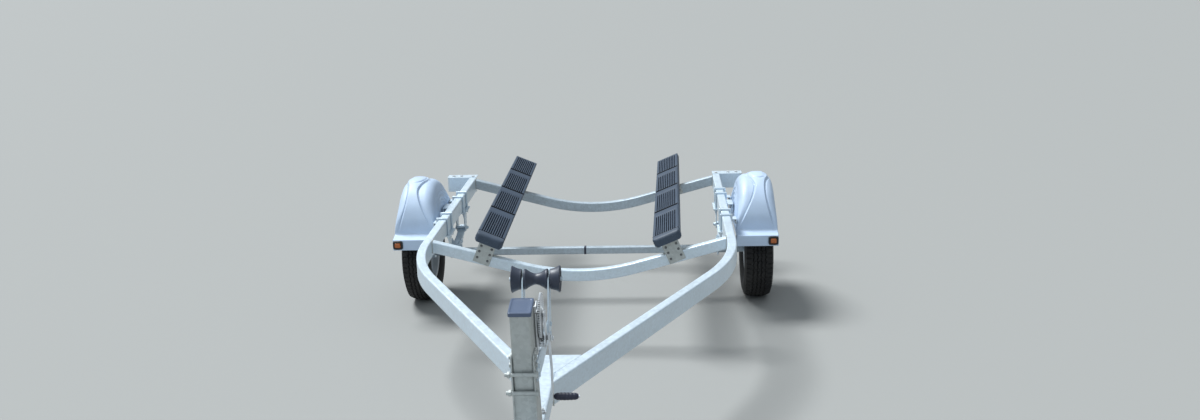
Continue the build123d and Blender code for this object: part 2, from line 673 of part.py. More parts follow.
def winch_frame():
    """Winch frame: base on the back of the post, two cheeks and an outer plate, which hold the shafts."""
    back_y = post_front_y(DRUM_Z) + POST_DEPTH / math.cos(math.radians(POST_LEAN))
    shaft_z = pinion_height()
    low = shaft_z - 26
    cheek = outline((back_y - 8, DRUM_Z + 30), (DRUM_Y, DRUM_Z + 32), (DRUM_Y + 28, DRUM_Z + 12),
                    (PINION_Y + 38, shaft_z - 6), (PINION_Y + 12, low), (back_y + 12, low))
    cheek = fillet(cheek.vertices().sort_by(Axis.X)[-3:], 8)
    body = side_profile(cheek, WINCH_CHEEK_IN, WINCH_CHEEK_OUT)
    body += side_profile(cheek, -WINCH_CHEEK_OUT, -WINCH_CHEEK_IN)
    body += on_post(rect_block(-WINCH_CHEEK_OUT, WINCH_CHEEK_OUT, POST_DEPTH, POST_DEPTH + 5, -172, -18))
    plate = outline((DRUM_Y - 17, DRUM_Z + 16), (DRUM_Y + 17, DRUM_Z + 16), (PINION_Y + 20, shaft_z + 20),
                    (PINION_Y + 36, shaft_z), (PINION_Y + 32, low + 8), (PINION_Y - 36, low),
                    (PINION_Y - 42, low + 14), (PINION_Y - 24, shaft_z + 24), rounded=6)
    body += side_profile(plate, WINCH_PLATE_IN, WINCH_PLATE_OUT)
    for along, above in ((-30, -14), (28, -6)):
        body += rod_x(6, WINCH_CHEEK_OUT - 1, WINCH_PLATE_OUT + 3, PINION_Y + along, shaft_z + above)
    bore = SHAFT_RADIUS + 0.05
    body -= rod_x(bore, -WINCH_PLATE_OUT, WINCH_PLATE_OUT + 5, DRUM_Y, DRUM_Z)
    body -= rod_x(bore, -WINCH_PLATE_OUT, WINCH_PLATE_OUT + 5, PINION_Y, shaft_z)
    return body


def mesh_angle():
    """Direction from the drum's centre to the pinion's, in degrees from +Y."""
    return math.degrees(math.atan2(pinion_height() - DRUM_Z, PINION_Y - DRUM_Y))


def winch_drum():
    """Drum with its flanges, shaft and toothed wheel, one tooth pointing at the pinion."""
    body = turned_about_x([(-37, 0), (-37, FLANGE_RADIUS), (-34, FLANGE_RADIUS), (-34, 20), (34, 20),
                           (34, FLANGE_RADIUS), (37, FLANGE_RADIUS), (37, 0)])
    body += rod_x(SHAFT_RADIUS, -48, WINCH_PLATE_OUT + 1.5, 0, 0)
    teeth = gear_outline(GEAR_TEETH, GEAR_MODULE)
    wheel = side_profile(teeth, GEAR_X, GEAR_X + GEAR_THICK)
    for index in range(5):
        turn = math.radians(36 + 72 * index)
        wheel -= rod_x(15, GEAR_X - 1, GEAR_X + GEAR_THICK + 1, 44 * math.cos(turn), 44 * math.sin(turn))
    return Pos(0, DRUM_Y, DRUM_Z) * (body + Rot(mesh_angle(), 0, 0) * wheel)


def winch_strap():
    """Webbing wound on the drum."""
    return turned_about_x([(-32, 20.3), (-32, STRAP_RADIUS - 1), (-30, STRAP_RADIUS), (30, STRAP_RADIUS),
                           (32, STRAP_RADIUS - 1), (32, 20.3)], 0, DRUM_Y, DRUM_Z)


def crank():
    """Crank: pinion, shaft and a bent flat arm that hangs down at rest."""
    teeth = gear_outline(PINION_TEETH, GEAR_MODULE)
    gap_turn = mesh_angle() + 180 - 180 / PINION_TEETH
    body = Rot(gap_turn, 0, 0) * side_profile(teeth, GEAR_X - 1, GEAR_X + GEAR_THICK + 1)
    body += rod_x(SHAFT_RADIUS, -48, CRANK_TOP_X + 12, 0, 0)
    body += hex_x(11, CRANK_TOP_X, 0, 0, 8)
    low = -CRANK_LENGTH - 13
    side = outline((CRANK_TOP_X, 16), (CRANK_TOP_X, -24), (CRANK_LOW_X, -112), (CRANK_LOW_X, low),
                   (CRANK_LOW_X - CRANK_THICK, low), (CRANK_LOW_X - CRANK_THICK, -113),
                   (CRANK_TOP_X - CRANK_THICK, -25), (CRANK_TOP_X - CRANK_THICK, 16))
    face = outline((-15, 16), (15, 16), (11, low), (-11, low), rounded=9)
    body += front_profile(side, -15, 15) & side_profile(face, WINCH_PLATE_OUT + 5, CRANK_LOW_X + 5)
    body += rod_x(5, CRANK_LOW_X - 2, GRIP_END_X + 4, 0, -CRANK_LENGTH)
    return Pos(0, PINION_Y, pinion_height()) * body


def crank_grip():
    """Tapered grip on the crank's pin."""
    start = CRANK_LOW_X + 1
    section = [(start, 5.1), (start, 11), (start + 10, 12.5), (GRIP_END_X - 12, 13.5), (GRIP_END_X - 2, 12),
               (GRIP_END_X, 5.1)]
    return turned_about_x(section, 0, PINION_Y, pinion_height() - CRANK_LENGTH)


def roller_bracket():
    """Arms from the post to the bow roller, with the roller's shaft."""
    stem_y = post_front_y(885) + 30
    stem = outline((stem_y, 848), (stem_y, 918), (-3330, 922), (-3110, 925), (-3075, 905), (-3075, 872),
                   (-3110, 855), (-3330, 843), rounded=8)
    yoke = outline((-3150, 862), (-3160, 900), (-3092, 1080), (-3030, 1080), (-3062, 862), rounded=16)
    stem_x = POST_WIDTH / 2 + CHEEK_THICK
    yoke_x = stem_x + CHEEK_THICK
    body = rod_x(ROLLER_SHAFT_RADIUS, -98, 98, ROLLER_Y, ROLLER_Z)
    for sign in (-1, 1):
        body += side_profile(stem, *sorted((sign * stem_x, sign * yoke_x)))
        body += side_profile(yoke, *sorted((sign * yoke_x, sign * (yoke_x + CHEEK_THICK))))
        yoke_bolt = sorted((sign * (stem_x + 2), sign * (yoke_x + CHEEK_THICK + 6)))
        for y, z in ((-3128, 878), (-3100, 906)):
            body += rod_x(8, *yoke_bolt, y, z)
        post_bolt = sorted((sign * (stem_x + 2), sign * (yoke_x + 6)))
        for z in (866, 899):
            body += rod_x(8, *post_bolt, post_front_y(z) + 50, z)
    return body + rect_block(-stem_x - 2, stem_x + 2, -3180, -3174, 864, 915)


def bow_roller():
    """Hourglass spool between the arms and a flared bell outside each arm, all on one sleeve."""
    hole = ROLLER_SHAFT_RADIUS + HUB_CLEARANCE
    spool = [(-44, hole), (-44, 36), (-38, 38), (-12, 23), (0, 20), (12, 23), (38, 38), (44, 36),
             (44, hole)]
    bell = [(53, hole), (53, 38), (70, 42), (86, 50), (90, 47), (90, hole)]
    mirrored_bell = [(-x, radius) for x, radius in bell]
    return [turned_about_x(section, 0, ROLLER_Y, ROLLER_Z) for section in (spool, bell, mirrored_bell)]


def coupler():
    """Formed coupler: sleeve over the tongue and a domed housing with the ball socket."""
    half = TONGUE_HALF + 4
    sleeve_rear = -4130
    low = TONGUE_BOTTOM - 4
    high = RAIL_TOP + 4
    nose = Pos(0, BALL_Y) * Circle(BALL_Y - NOSE_Y)
    plan = outline((-half, sleeve_rear), (half, sleeve_rear), (half, BALL_Y), (-half, BALL_Y)) + nose
    side = outline((sleeve_rear, low), (sleeve_rear, high), (TONGUE_FRONT_Y + 6, high),
                   (BALL_Y - 6, high - 26), (NOSE_Y - 1, high - 46), (NOSE_Y - 1, low))
    body = plan_profile(plan, low, high) & side_profile(side, -half - 5, half + 5)
    body -= rect_block(-TONGUE_HALF, TONGUE_HALF, TONGUE_FRONT_Y, sleeve_rear + 1, TONGUE_BOTTOM, RAIL_TOP)
    body -= rect_block(-26, 26, sleeve_rear - 70, sleeve_rear + 1, low - 1, TONGUE_BOTTOM + 1)
    body -= rod_z(SOCKET_RADIUS, 0, BALL_Y, low - 1, low + 22)
    body -= Pos(0, BALL_Y, low + 22) * Sphere(SOCKET_RADIUS)
    for bolt_y in (sleeve_rear - 28, sleeve_rear - 98):
        for sign in (-1, 1):
            head = sorted((sign * half, sign * (half + 9)))
            body += rod_x(10, *head, bolt_y, TONGUE_MID)
    return body


def coupler_latch():
    """Latch lever folded down on the coupler's top."""
    top = RAIL_TOP + 4
    lever = outline((-4290, top - 12), (-4262, top), (-4258, top + 24), (-4150, top + 34),
                    (-4146, top + 28), (-4236, top + 14), (-4232, top), (-4256, top))
    return side_profile(lever, -14, 14)


def jack_bracket():
    """Clamp plates on both sides of the tongue and the stub that the jack swings on."""
    body = rod_x(20, JACK_X + 37.5, -TONGUE_HALF, JACK_Y, TONGUE_MID)
    body -= rod_x(JACK_PIN_RADIUS + HUB_CLEARANCE, JACK_X + 30, -TONGUE_HALF - 20, JACK_Y, TONGUE_MID)
    for sign in (-1, 1):
        plate_x = sorted((sign * TONGUE_HALF, sign * (TONGUE_HALF + 7)))
        body += rect_block(*plate_x, JACK_Y - 58, JACK_Y + 58, TONGUE_BOTTOM - 22, RAIL_TOP + 22)
    for bolt_y in (JACK_Y - 42, JACK_Y + 42):
        for z in (TONGUE_BOTTOM - 10, RAIL_TOP + 10):
            body += rod_x(5.5, -TONGUE_HALF - 18, TONGUE_HALF + 12, bolt_y, z)
            body += hex_x(9, -TONGUE_HALF - 16, bolt_y, z, 9)
            body += hex_x(9, TONGUE_HALF + 7, bolt_y, z, 7)
    return body


def jack_tube():
    """Outer tube of the jack with its pivot plate, cap and side crank."""
    body = rod_z(JACK_TUBE_RADIUS, JACK_X, JACK_Y, JACK_TUBE_BOTTOM, JACK_TUBE_TOP)
    body -= rod_z(JACK_TUBE_RADIUS - 3.5, JACK_X, JACK_Y, JACK_TUBE_BOTTOM - 1, JACK_TUBE_TOP - 4)
    pivot_face = JACK_X + 37
    plate = rod_x(44, JACK_X + 28, pivot_face, JACK_Y, TONGUE_MID)
    pin = rod_x(JACK_PIN_RADIUS, JACK_X + 28, -TONGUE_HALF - 22, JACK_Y, TONGUE_MID)
    web = rect_block(JACK_X + 18, JACK_X + 30, JACK_Y - 20, JACK_Y + 20, TONGUE_MID - 55, TONGUE_MID + 55)
    web -= rod_z(JACK_TUBE_RADIUS - 3.5, JACK_X, JACK_Y, TONGUE_MID - 60, TONGUE_MID + 60)
    body += plate + pin + web
    cap = Pos(JACK_X, JACK_Y, JACK_TUBE_TOP + 4) * Cylinder(JACK_TUBE_RADIUS + 3, 22)
    body += fillet(cap.edges().sort_by(Axis.Z)[-1], 8)
    shaft_z = JACK_TUBE_TOP - 22
    body -= rod_z(JACK_TUBE_RADIUS - 3.5, JACK_X, JACK_Y, JACK_TUBE_TOP - 30, JACK_TUBE_TOP - 4)
    arm_x = JACK_X - 62
    body += rod_x(15, JACK_X - JACK_TUBE_RADIUS - 10, JACK_X - JACK_TUBE_RADIUS + 2, JACK_Y, shaft_z)
    body += rod_x(6.5, arm_x - 6, JACK_X - JACK_TUBE_RADIUS, JACK_Y, shaft_z)
    body += rect_block(arm_x - 6, arm_x, JACK_Y - 11, JACK_Y + 11, shaft_z - 122, shaft_z + 12)
    body += rod_x(5, arm_x - 84, arm_x, JACK_Y, shaft_z - 110)
    grip = [(arm_x - 82, 0), (arm_x - 82, 11), (arm_x - 76, 13), (arm_x - 14, 11), (arm_x - 8, 0)]
    return body + turned_about_x(grip, 0, JACK_Y, shaft_z - 110)


def jack_leg():
    """Inner tube of the jack with the caster's seat at its foot."""
    body = rod_z(JACK_LEG_RADIUS, JACK_X, JACK_Y, LEG_FOOT, 700)
    body -= rod_z(JACK_LEG_RADIUS - 3, JACK_X, JACK_Y, LEG_FOOT + 34, 701)
    return body - rod_z(JACK_PIN_RADIUS + HUB_CLEARANCE, JACK_X, JACK_Y, LEG_FOOT - 1, LEG_FOOT + 30)


def jack_fork():
    """Swivelling fork of the jack's wheel, with its trail to the rear."""
    top = LEG_FOOT - 0.5
    body = rod_z(30, JACK_X, JACK_Y, top - 6, top)
    body += rod_z(JACK_PIN_RADIUS, JACK_X, JACK_Y, top - 3, LEG_FOOT + 26)
    body += rect_block(JACK_X - 31, JACK_X + 31, JACK_Y - 26, JACK_Y + 34, top - 12, top - 5)
    shaft_y = JACK_Y + JACK_TRAIL
    side = outline((JACK_Y - 26, top - 5), (JACK_Y + 34, top - 5), (JACK_Y + 38, top - 40),
                   (shaft_y + 14, JACK_WHEEL_RADIUS), (shaft_y + 4, JACK_WHEEL_RADIUS - 14),
                   (shaft_y - 8, JACK_WHEEL_RADIUS - 12), (shaft_y - 14, JACK_WHEEL_RADIUS))
    for x0 in (JACK_X - 31, JACK_X + 26):
        body += side_profile(side, x0, x0 + 5)
    body += rod_x(8, JACK_X - 38, JACK_X + 38, shaft_y, JACK_WHEEL_RADIUS)
    return body


def jack_wheel():
    """Moulded wheel of the jack with a dished web."""
    hole = 8 + HUB_CLEARANCE
    section = [(-21, hole), (-21, 20), (-8, 24), (-8, 54), (-20, 58), (-20, 70), (-14, JACK_WHEEL_RADIUS),
               (14, JACK_WHEEL_RADIUS), (20, 70), (20, 58), (8, 54), (8, 24), (21, 20), (21, hole)]
    return turned_about_x(section, JACK_X, JACK_Y + JACK_TRAIL, JACK_WHEEL_RADIUS)


def build():
    """Write all pieces."""
    save_pair("rail", rail())
    save("tongue", tongue())
    save("cross_front", crossmember(CROSS_FRONT_Y))
    save("cross_rear", crossmember(CROSS_REAR_Y))
    save("axle", axle())
    save_pair("spring", spring())
    save_pair("hangers", hangers())
    save_pair("tyre", tyre())
    save_pair("rim", rim())
    save_pair("hub", hub())
    save_pair("fender", fender())
    save_both("fender_brackets", fender_bracket())
    save_both("side_markers", side_marker())
    save_pair("bunk_board", bunk_board())
    save_pair("bunk_pad", bunk_pad())
    save_both("bunk_brackets", [bunk_bracket(CROSS_FRONT_Y), bunk_bracket(CROSS_REAR_Y)])
    save_both("light_boxes", light_box())
    save_both("tail_lamps", tail_lamp())
    save("winch_post", winch_post())
    save("post_cap", post_cap())
    save("post_bracket", post_bracket())
    save("winch_frame", winch_frame())
    save("winch_drum", winch_drum())
    save("winch_strap", winch_strap())
    save("winch_crank", crank())
    save("crank_grip", crank_grip())
    save("roller_bracket", roller_bracket())
    save("bow_roller", bow_roller())
    save("coupler", coupler())
    save("coupler_latch", coupler_latch())
    save("jack_bracket", jack_bracket())
    save("jack_tube", jack_tube())
    save("jack_leg", jack_leg())
    save("jack_fork", jack_fork())
    save("jack_wheel", jack_wheel())


if __name__ == "__main__":
    build()
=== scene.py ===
import json
import math

import bmesh
import bpy
import numpy as np
from mathutils import Matrix, Vector


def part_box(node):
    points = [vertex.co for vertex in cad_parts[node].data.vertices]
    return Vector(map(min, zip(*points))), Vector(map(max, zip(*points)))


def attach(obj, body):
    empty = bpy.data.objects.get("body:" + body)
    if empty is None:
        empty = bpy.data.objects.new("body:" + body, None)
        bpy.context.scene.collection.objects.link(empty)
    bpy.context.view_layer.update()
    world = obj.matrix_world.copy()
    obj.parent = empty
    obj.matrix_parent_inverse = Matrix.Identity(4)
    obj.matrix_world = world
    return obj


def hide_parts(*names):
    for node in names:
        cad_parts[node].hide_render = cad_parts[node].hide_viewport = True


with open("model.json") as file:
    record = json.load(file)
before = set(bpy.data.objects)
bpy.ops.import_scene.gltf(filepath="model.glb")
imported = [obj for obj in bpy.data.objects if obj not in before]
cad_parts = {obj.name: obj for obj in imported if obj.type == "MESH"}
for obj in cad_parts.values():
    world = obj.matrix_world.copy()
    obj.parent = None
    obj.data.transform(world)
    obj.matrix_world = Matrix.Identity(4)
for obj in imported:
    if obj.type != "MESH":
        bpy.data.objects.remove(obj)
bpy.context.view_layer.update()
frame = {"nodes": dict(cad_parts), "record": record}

bl_info = {
    "name": "Boat trailer dressing",
    "version": (1, 0, 0),
    "blender": (4, 5, 0),
    "location": "View3D > Sidebar > Trailer",
    "description": "Moulded covers, rubber, fasteners, welds and finishes around a boat trailer's frame",
    "category": "Add Mesh",
}

NODES = frame["nodes"]
SLOT_OF = {entry["node"]: entry["material_slot"] for entry in frame["record"]["subparts"]}
SIDES = {"right": 1, "left": -1}

# The trailer's own places, read from the frame
RAIL_HIGH = np.array(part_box("rail_right")[1])
TONGUE_LOW, TONGUE_HIGH = (np.array(corner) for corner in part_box("tongue"))
FENDER_LOW, FENDER_HIGH = (np.array(corner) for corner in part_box("fender_right"))
TYRE_LOW, TYRE_HIGH = (np.array(corner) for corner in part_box("tyre_right"))
ROLLER_LOW, ROLLER_HIGH = (np.array(corner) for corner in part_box("bow_roller"))
GRIP_LOW, GRIP_HIGH = (np.array(corner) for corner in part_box("crank_grip"))
AXLE = (TYRE_LOW + TYRE_HIGH) / 2
WHEEL_RADIUS = (TYRE_HIGH[2] - TYRE_LOW[2]) / 2
RAIL_TOP = RAIL_HIGH[2]
RAIL_WIDTH = 0.051
RAIL_BOTTOM = RAIL_TOP - 0.095
RAIL_MIDDLE_X = RAIL_HIGH[0] - RAIL_WIDTH / 2
RAIL_CORNER_Y = AXLE[1] - 1.255
V_ANGLE = math.radians(26.2)
TONGUE_HALF = (TONGUE_HIGH[2] - TONGUE_LOW[2]) / 2
GUSSET_LENGTH = 1.421
CROSS_YS = (AXLE[1] - 0.860, AXLE[1] + 0.759)
CROSS_HALF = 0.0255
PLATE_THICK = 0.006
LIGHT_BOX_Y = AXLE[1] + 0.785

# Fender seen from the side, as heights and half the wheel arch's length, and its numbers of stations
LIP_TOP, LEDGE_TOP, ARCH_TOP, ARCH_HALF = 0.495, 0.512, 0.782, 0.330
RISE_STATIONS, BEND_STATIONS, LEDGE_STATIONS, ARCH_STATIONS = 14, 6, 7, 108
ARCH_START = RISE_STATIONS + BEND_STATIONS + LEDGE_STATIONS
FENDER_WALL = 0.0035
# Height from which its shoulders widen, and its sides' inward taper over the height above the ledge
SHOULDER_FROM, INNER_TAPER, OUTER_TAPER, TAPER_HEIGHT = 0.53, 0.035, 0.013, 0.288
# Edges of its raised panel: degrees from the crown round the wheel, and distance from the trailer's middle
PANEL_INNER = ((0, 0.996), (13, 1.024), (26, 1.0435), (39, 1.0315), (47, 1.0155), (56, 0.992), (65, 0.966),
               (76, 0.936), (90, 0.92))
PANEL_OUTER = ((0, 1.143), (8, 1.134), (21, 1.112), (32, 1.1055), (43, 1.1075), (54, 1.117), (64, 1.130),
               (76, 1.147), (90, 1.17))

# Bunk covers, as they lie on their boards
BUNK_TILT = math.radians(23)
BUNK_NOSE = Vector((0.487, AXLE[1] - 0.932, 0.650))
BUNK_TAIL = Vector((0.520, AXLE[1] + 1.265, 0.650))
BUNK_SPLAY = math.atan2(BUNK_TAIL.x - BUNK_NOSE.x, BUNK_TAIL.y - BUNK_NOSE.y)
BUNK_LENGTH = BUNK_TAIL.y - BUNK_NOSE.y
COVER_STARTS = (0.074, 0.642, 1.202, 1.760)
COVER_GAP = 0.012
COVER_ENDS = (*(start - COVER_GAP for start in COVER_STARTS[1:]), BUNK_LENGTH)
LAST_BAND = 0.014
BUNK_WIDTH = 0.160
NOSE_WALL = 0.004

# Winch post
POST_LEAN = math.radians(9.45)
POST_FRONT_TOP = Vector((0.0, AXLE[1] - 3.584, 1.103))


# Shapes worked out as whole arrays

def grid_faces(rows, columns, wrap_rows=False, wrap_columns=False):
    """Quads of a rows by columns grid of corners; a wrapped direction joins its last line to its first."""
    row = np.arange(rows if wrap_rows else rows - 1)[:, None]
    column = np.arange(columns if wrap_columns else columns - 1)[None, :]
    next_row = (row + 1) % rows
    next_column = (column + 1) % columns
    corners = [row * columns + column, row * columns + next_column,
               next_row * columns + next_column, next_row * columns + column]
    return np.stack([corner.ravel() for corner in corners], axis=1)


def facing_out(points, faces):
    """Turn all faces over if the volume that they enclose comes out negative."""
    a, b, c, d = (points[faces[:, index]] for index in range(4))
    volume = np.einsum("ij,ij->i", a, np.cross(b, c)).sum() + np.einsum("ij,ij->i", a, np.cross(c, d)).sum()
    return faces[:, ::-1] if volume < 0 else faces


def smoothstep(value):
    """0 below 0, 1 above 1 and 3t^2 - 2t^3 between."""
    t = np.clip(value, 0, 1)
    return t * t * (3 - 2 * t)


def eased(x, places, values):
    """Straight interpolation through a short table, smoothed by a cosine between its places."""
    places = np.asarray(places, float)
    values = np.asarray(values, float)
    index = np.clip(np.searchsorted(places, x) - 1, 0, len(places) - 2)
    share = np.clip((x - places[index]) / (places[index + 1] - places[index]), 0, 1)
    return values[index] + (values[index + 1] - values[index]) * (1 - np.cos(np.pi * share)) / 2


def curved(x, places, values):
    """Cubic Hermite curve through a short table, level at its first place; its other slopes are taken from
    the neighbouring places."""
    places = np.asarray(places, float)
    values = np.asarray(values, float)
    slope = np.gradient(values, places)
    slope[0] = 0
    index = np.clip(np.searchsorted(places, x) - 1, 0, len(places) - 2)
    span = places[index + 1] - places[index]
    t = np.clip((x - places[index]) / span, 0, 1)
    ease = t * t * (3 - 2 * t)
    bend = span * (t * (1 - t) ** 2 * slope[index] - t * t * (1 - t) * slope[index + 1])
    return values[index] * (1 - ease) + values[index + 1] * ease + bend


def turned(profile, steps, centre, axis=0):
    """Closed solid of revolution: each (along, radius) of the loop goes round the axis, at
    centre + along * axis + radius * (cos, sin) in the plane across it."""
    profile = np.asarray(profile, float)
    angle = np.linspace(0, 2 * np.pi, steps, endpoint=False)[:, None]
    along = np.broadcast_to(profile[:, 0], (steps, len(profile)))
    ring = [profile[:, 1] * np.cos(angle), profile[:, 1] * np.sin(angle)]
    parts = [along, *ring] if axis == 0 else [ring[0], ring[1], along]
    points = np.stack(parts, axis=-1).reshape(-1, 3) + np.asarray(centre)
    return points, facing_out(points, grid_faces(steps, len(profile), True, True))


def swept(path, radius, sides, ripple=0.0, pitch=0.004):
    """Round bead along a path: at each point a ring of the radius, times 1 + ripple * |sin| of the length,
    in the plane across the path's direction; the two ends close on points."""
    path = np.asarray(path, float)
    step = np.gradient(path, axis=0)
    forward = step / np.linalg.norm(step, axis=1, keepdims=True)
    up = np.where(np.abs(forward[:, 2:3]) > 0.9, [[1.0, 0, 0]], [[0, 0, 1.0]])
    side = np.cross(forward, up)
    side /= np.linalg.norm(side, axis=1, keepdims=True)
    lift = np.cross(side, forward)
    length = np.concatenate([[0], np.cumsum(np.linalg.norm(np.diff(path, axis=0), axis=1))])
    size = radius * (1 + ripple * np.abs(np.sin(np.pi * length / pitch)))
    size[0] = size[-1] = radius * 0.05
    angle = np.linspace(0, 2 * np.pi, sides, endpoint=False)
    ring = np.cos(angle)[None, :, None] * side[:, None] + np.sin(angle)[None, :, None] * lift[:, None]
    points = (path[:, None] + size[:, None, None] * ring).reshape(-1, 3)
    faces = grid_faces(len(path), sides, wrap_columns=True)
    return points, facing_out(points, faces)


def resampled(corners, step):
    """Points every step metres along straight runs between corners."""
    runs = []
    for start, end in zip(corners[:-1], corners[1:]):
        start, end = np.asarray(start, float), np.asarray(end, float)
        count = max(2, int(np.linalg.norm(end - start) / step))
        runs.append(start + (end - start) * np.linspace(0, 1, count, endpoint=False)[:, None])
    return np.concatenate(runs + [np.asarray(corners[-1], float)[None]])


def placed(points, faces, origins, directions):
    """Copies of a shape that stands along +Z, each moved to an origin and turned to a direction."""
    copies, numbers = [], []
    for index, (origin, direction) in enumerate(zip(origins, directions)):
        turn = np.array(Vector((0, 0, 1)).rotation_difference(Vector(direction)).to_matrix())
        copies.append(points @ turn.T + np.asarray(origin))
        numbers.append(faces + index * len(points))
    return np.concatenate(copies), np.concatenate(numbers)


def joined(shapes):
    """Several shapes as one array of points and one of faces."""
    points, faces, start = [], [], 0
    for shape_points, shape_faces in shapes:
        points.append(shape_points)
        faces.append(shape_faces + start)
        start += len(shape_points)
    return np.concatenate(points), np.concatenate(faces)


def mirrored(points, faces):
    """The same shape on the other side, with its faces turned so that they still point outwards."""
    return points * np.array([-1.0, 1, 1]), faces[:, ::-1]


def on_side(side, points, faces):
    """A shape made for the right, as it is on this side."""
    return (points, faces) if side == "right" else mirrored(points, faces)


def stacked(rings):
    """Shape through a stack of rings that have equally many points."""
    points = np.concatenate(rings)
    return points, facing_out(points, grid_faces(len(rings), len(rings[0]), wrap_columns=True))


def superellipse(count, power):
    """Points (x, y) of a superellipse of this power whose half widths are 1."""
    angle = np.linspace(0, 2 * np.pi, count, endpoint=False)
    return [np.sign(part) * np.abs(part) ** (2 / power) for part in (np.cos(angle), np.sin(angle))]


def both_sides(points, faces):
    """A shape and its mirror image."""
    return joined([(points, faces), mirrored(points, faces)])


def hexagon_head(across, height, washer, stub=0.0):
    """Bolt head or nut on a washer, standing on z = 0: rings of points whose radius goes from the washer's
    circle to the hexagon, its chamfer, and the shank's end or the flat top."""
    count, washer_thick, shank = 24, 0.0018, across * 0.30
    angle = np.linspace(0, 2 * np.pi, count, endpoint=False)
    hexagon = across / 2 / np.cos((angle + np.pi / 6) % (np.pi / 3) - np.pi / 6)
    circle = np.ones(count)
    rings = [(circle * washer * 0.02, 0.0), (circle * washer, 0.0), (circle * washer, washer_thick),
             (hexagon, washer_thick + 0.0001), (hexagon, height * 0.85),
             (np.minimum(hexagon, across * 0.49), height)]
    if stub:
        rings += [(circle * shank, height), (circle * shank, height + stub * 0.9),
                  (circle * shank * 0.75, height + stub)]
    rings.append((circle * shank * 0.02, rings[-1][1]))
    return stacked([np.stack([r * np.cos(angle), r * np.sin(angle), z * circle], 1) for r, z in rings])


# Pieces in the scene

def add_piece(name, points, faces, material, body, slot, stands_for=(), smooth=True, crease_angle=35):
    """Make an object at the origin from arrays, merge doubles, drop flat faces and hand it to its body."""
    mesh = bpy.data.meshes.new(name)
    mesh.from_pydata(np.asarray(points).tolist(), [], np.asarray(faces).tolist())
    piece = bpy.data.objects.new(name, mesh)
    bpy.context.scene.collection.objects.link(piece)
    merge_doubles(piece)
    if smooth:
        mesh.shade_smooth()
        mesh.set_sharp_from_angle(angle=math.radians(crease_angle))
    mesh.materials.append(bpy.data.materials[material])
    if stands_for:
        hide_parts(*stands_for)
    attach(piece, body)
    return piece


def merge_doubles(piece, distance=2e-5):
    """Merge coincident corners and remove the faces that this leaves without area."""
    shape = bmesh.new()
    shape.from_mesh(piece.data)
    bmesh.ops.remove_doubles(shape, verts=shape.verts, dist=distance)
    bmesh.ops.dissolve_degenerate(shape, edges=shape.edges, dist=distance / 2)
    shape.to_mesh(piece.data)
    shape.free()


def apply_modifiers(piece):
    """Replace the mesh by what its modifiers make of it."""
    graph = bpy.context.evaluated_depsgraph_get()
    made = bpy.data.meshes.new_from_object(piece.evaluated_get(graph))
    piece.modifiers.clear()
    piece.data = made


def thickened(piece, thickness):
    """Give a shell its wall, on the inside."""
    merge_doubles(piece, 0.0002)
    wall = piece.modifiers.new("wall", "SOLIDIFY")
    wall.thickness = thickness
    wall.offset = -1
    wall.use_even_offset = False
    apply_modifiers(piece)
    piece.data.set_sharp_from_angle(angle=math.radians(40))


# Finishes

ZINC_DUST, PLASTIC_DUST, TARNISH = (0.34, 0.31, 0.26, 1), (0.36, 0.33, 0.28, 1), (0.40, 0.39, 0.37, 1)


def link_or_set(tree, socket, value):
    """Feed a socket from another socket, or give it a fixed value."""
    if isinstance(value, bpy.types.NodeSocket):
        tree.links.new(value, socket)
    elif value is not None:
        socket.default_value = value


def shader_node(tree, kind, inputs=None, **settings):
    """Add a node, set its options, and feed the inputs named or numbered in a dictionary."""
    made = tree.nodes.new(kind)
    for key, value in settings.items():
        setattr(made, key, value)
    for key, value in (inputs or {}).items():
        link_or_set(tree, made.inputs[key], value)
    return made


def arithmetic(tree, operation, first, second, clamp=False):
    """One step of arithmetic on two values."""
    inputs = {0: first, 1: second}
    return shader_node(tree, "ShaderNodeMath", inputs, operation=operation, use_clamp=clamp).outputs[0]


def times(tree, first, second, clamp=False):
    """The product of two values."""
    return arithmetic(tree, "MULTIPLY", first, second, clamp)


def plus(tree, first, second):
    """The sum of two values."""
    return arithmetic(tree, "ADD", first, second)


def blended(tree, share, first, second):
    """Two colours mixed by a share."""
    return shader_node(tree, "ShaderNodeMix", {0: share, 6: first, 7: second}, data_type="RGBA").outputs[2]


def ranged(tree, value, low, high, to_low=0.0, to_high=1.0):
    """A value carried from one range to another and held at its ends."""
    inputs = {0: value, 1: low, 2: high, 3: to_low, 4: to_high}
    return shader_node(tree, "ShaderNodeMapRange", inputs).outputs[0]


def rgba(colour):
    """A colour with its fourth value."""
    return (*colour[:3], 1.0)


def tinted(tree, colour, factor):
    """A fixed colour times a value that changes over the surface."""
    inputs = {0: rgba(colour)[:3], 1: factor}
    return shader_node(tree, "ShaderNodeVectorMath", inputs, operation="MULTIPLY").outputs[0]


def scaled(colour, factor):
    """A colour times a fixed number, with its fourth value."""
    return rgba([part * factor for part in colour])


def upright(tree, vector):
    """The Z part of a vector."""
    return shader_node(tree, "ShaderNodeSeparateXYZ", {0: vector}).outputs[2]


def surface_normal(tree):
    """The normal of the surface as it is shaded."""
    return shader_node(tree, "ShaderNodeNewGeometry").outputs["Normal"]


def waves(tree, place, scale, direction):
    """Even waves between 0 and 1 across a direction."""
    inputs = {"Vector": place, "Scale": scale}
    return shader_node(tree, "ShaderNodeTexWave", inputs, bands_direction=direction).outputs[1]


def object_place(tree, stretch=(1, 1, 1)):
    """Object coordinates, stretched."""
    place = shader_node(tree, "ShaderNodeTexCoord").outputs["Object"]
    return shader_node(tree, "ShaderNodeMapping", {"Vector": place, "Scale": stretch}).outputs[0]


def noise(tree, place, scale, detail, roughness=0.55):
    """Cloudy noise between 0 and 1."""
    inputs = {"Vector": place, "Scale": scale, "Detail": detail, "Roughness": roughness}
    return shader_node(tree, "ShaderNodeTexNoise", inputs).outputs[0]


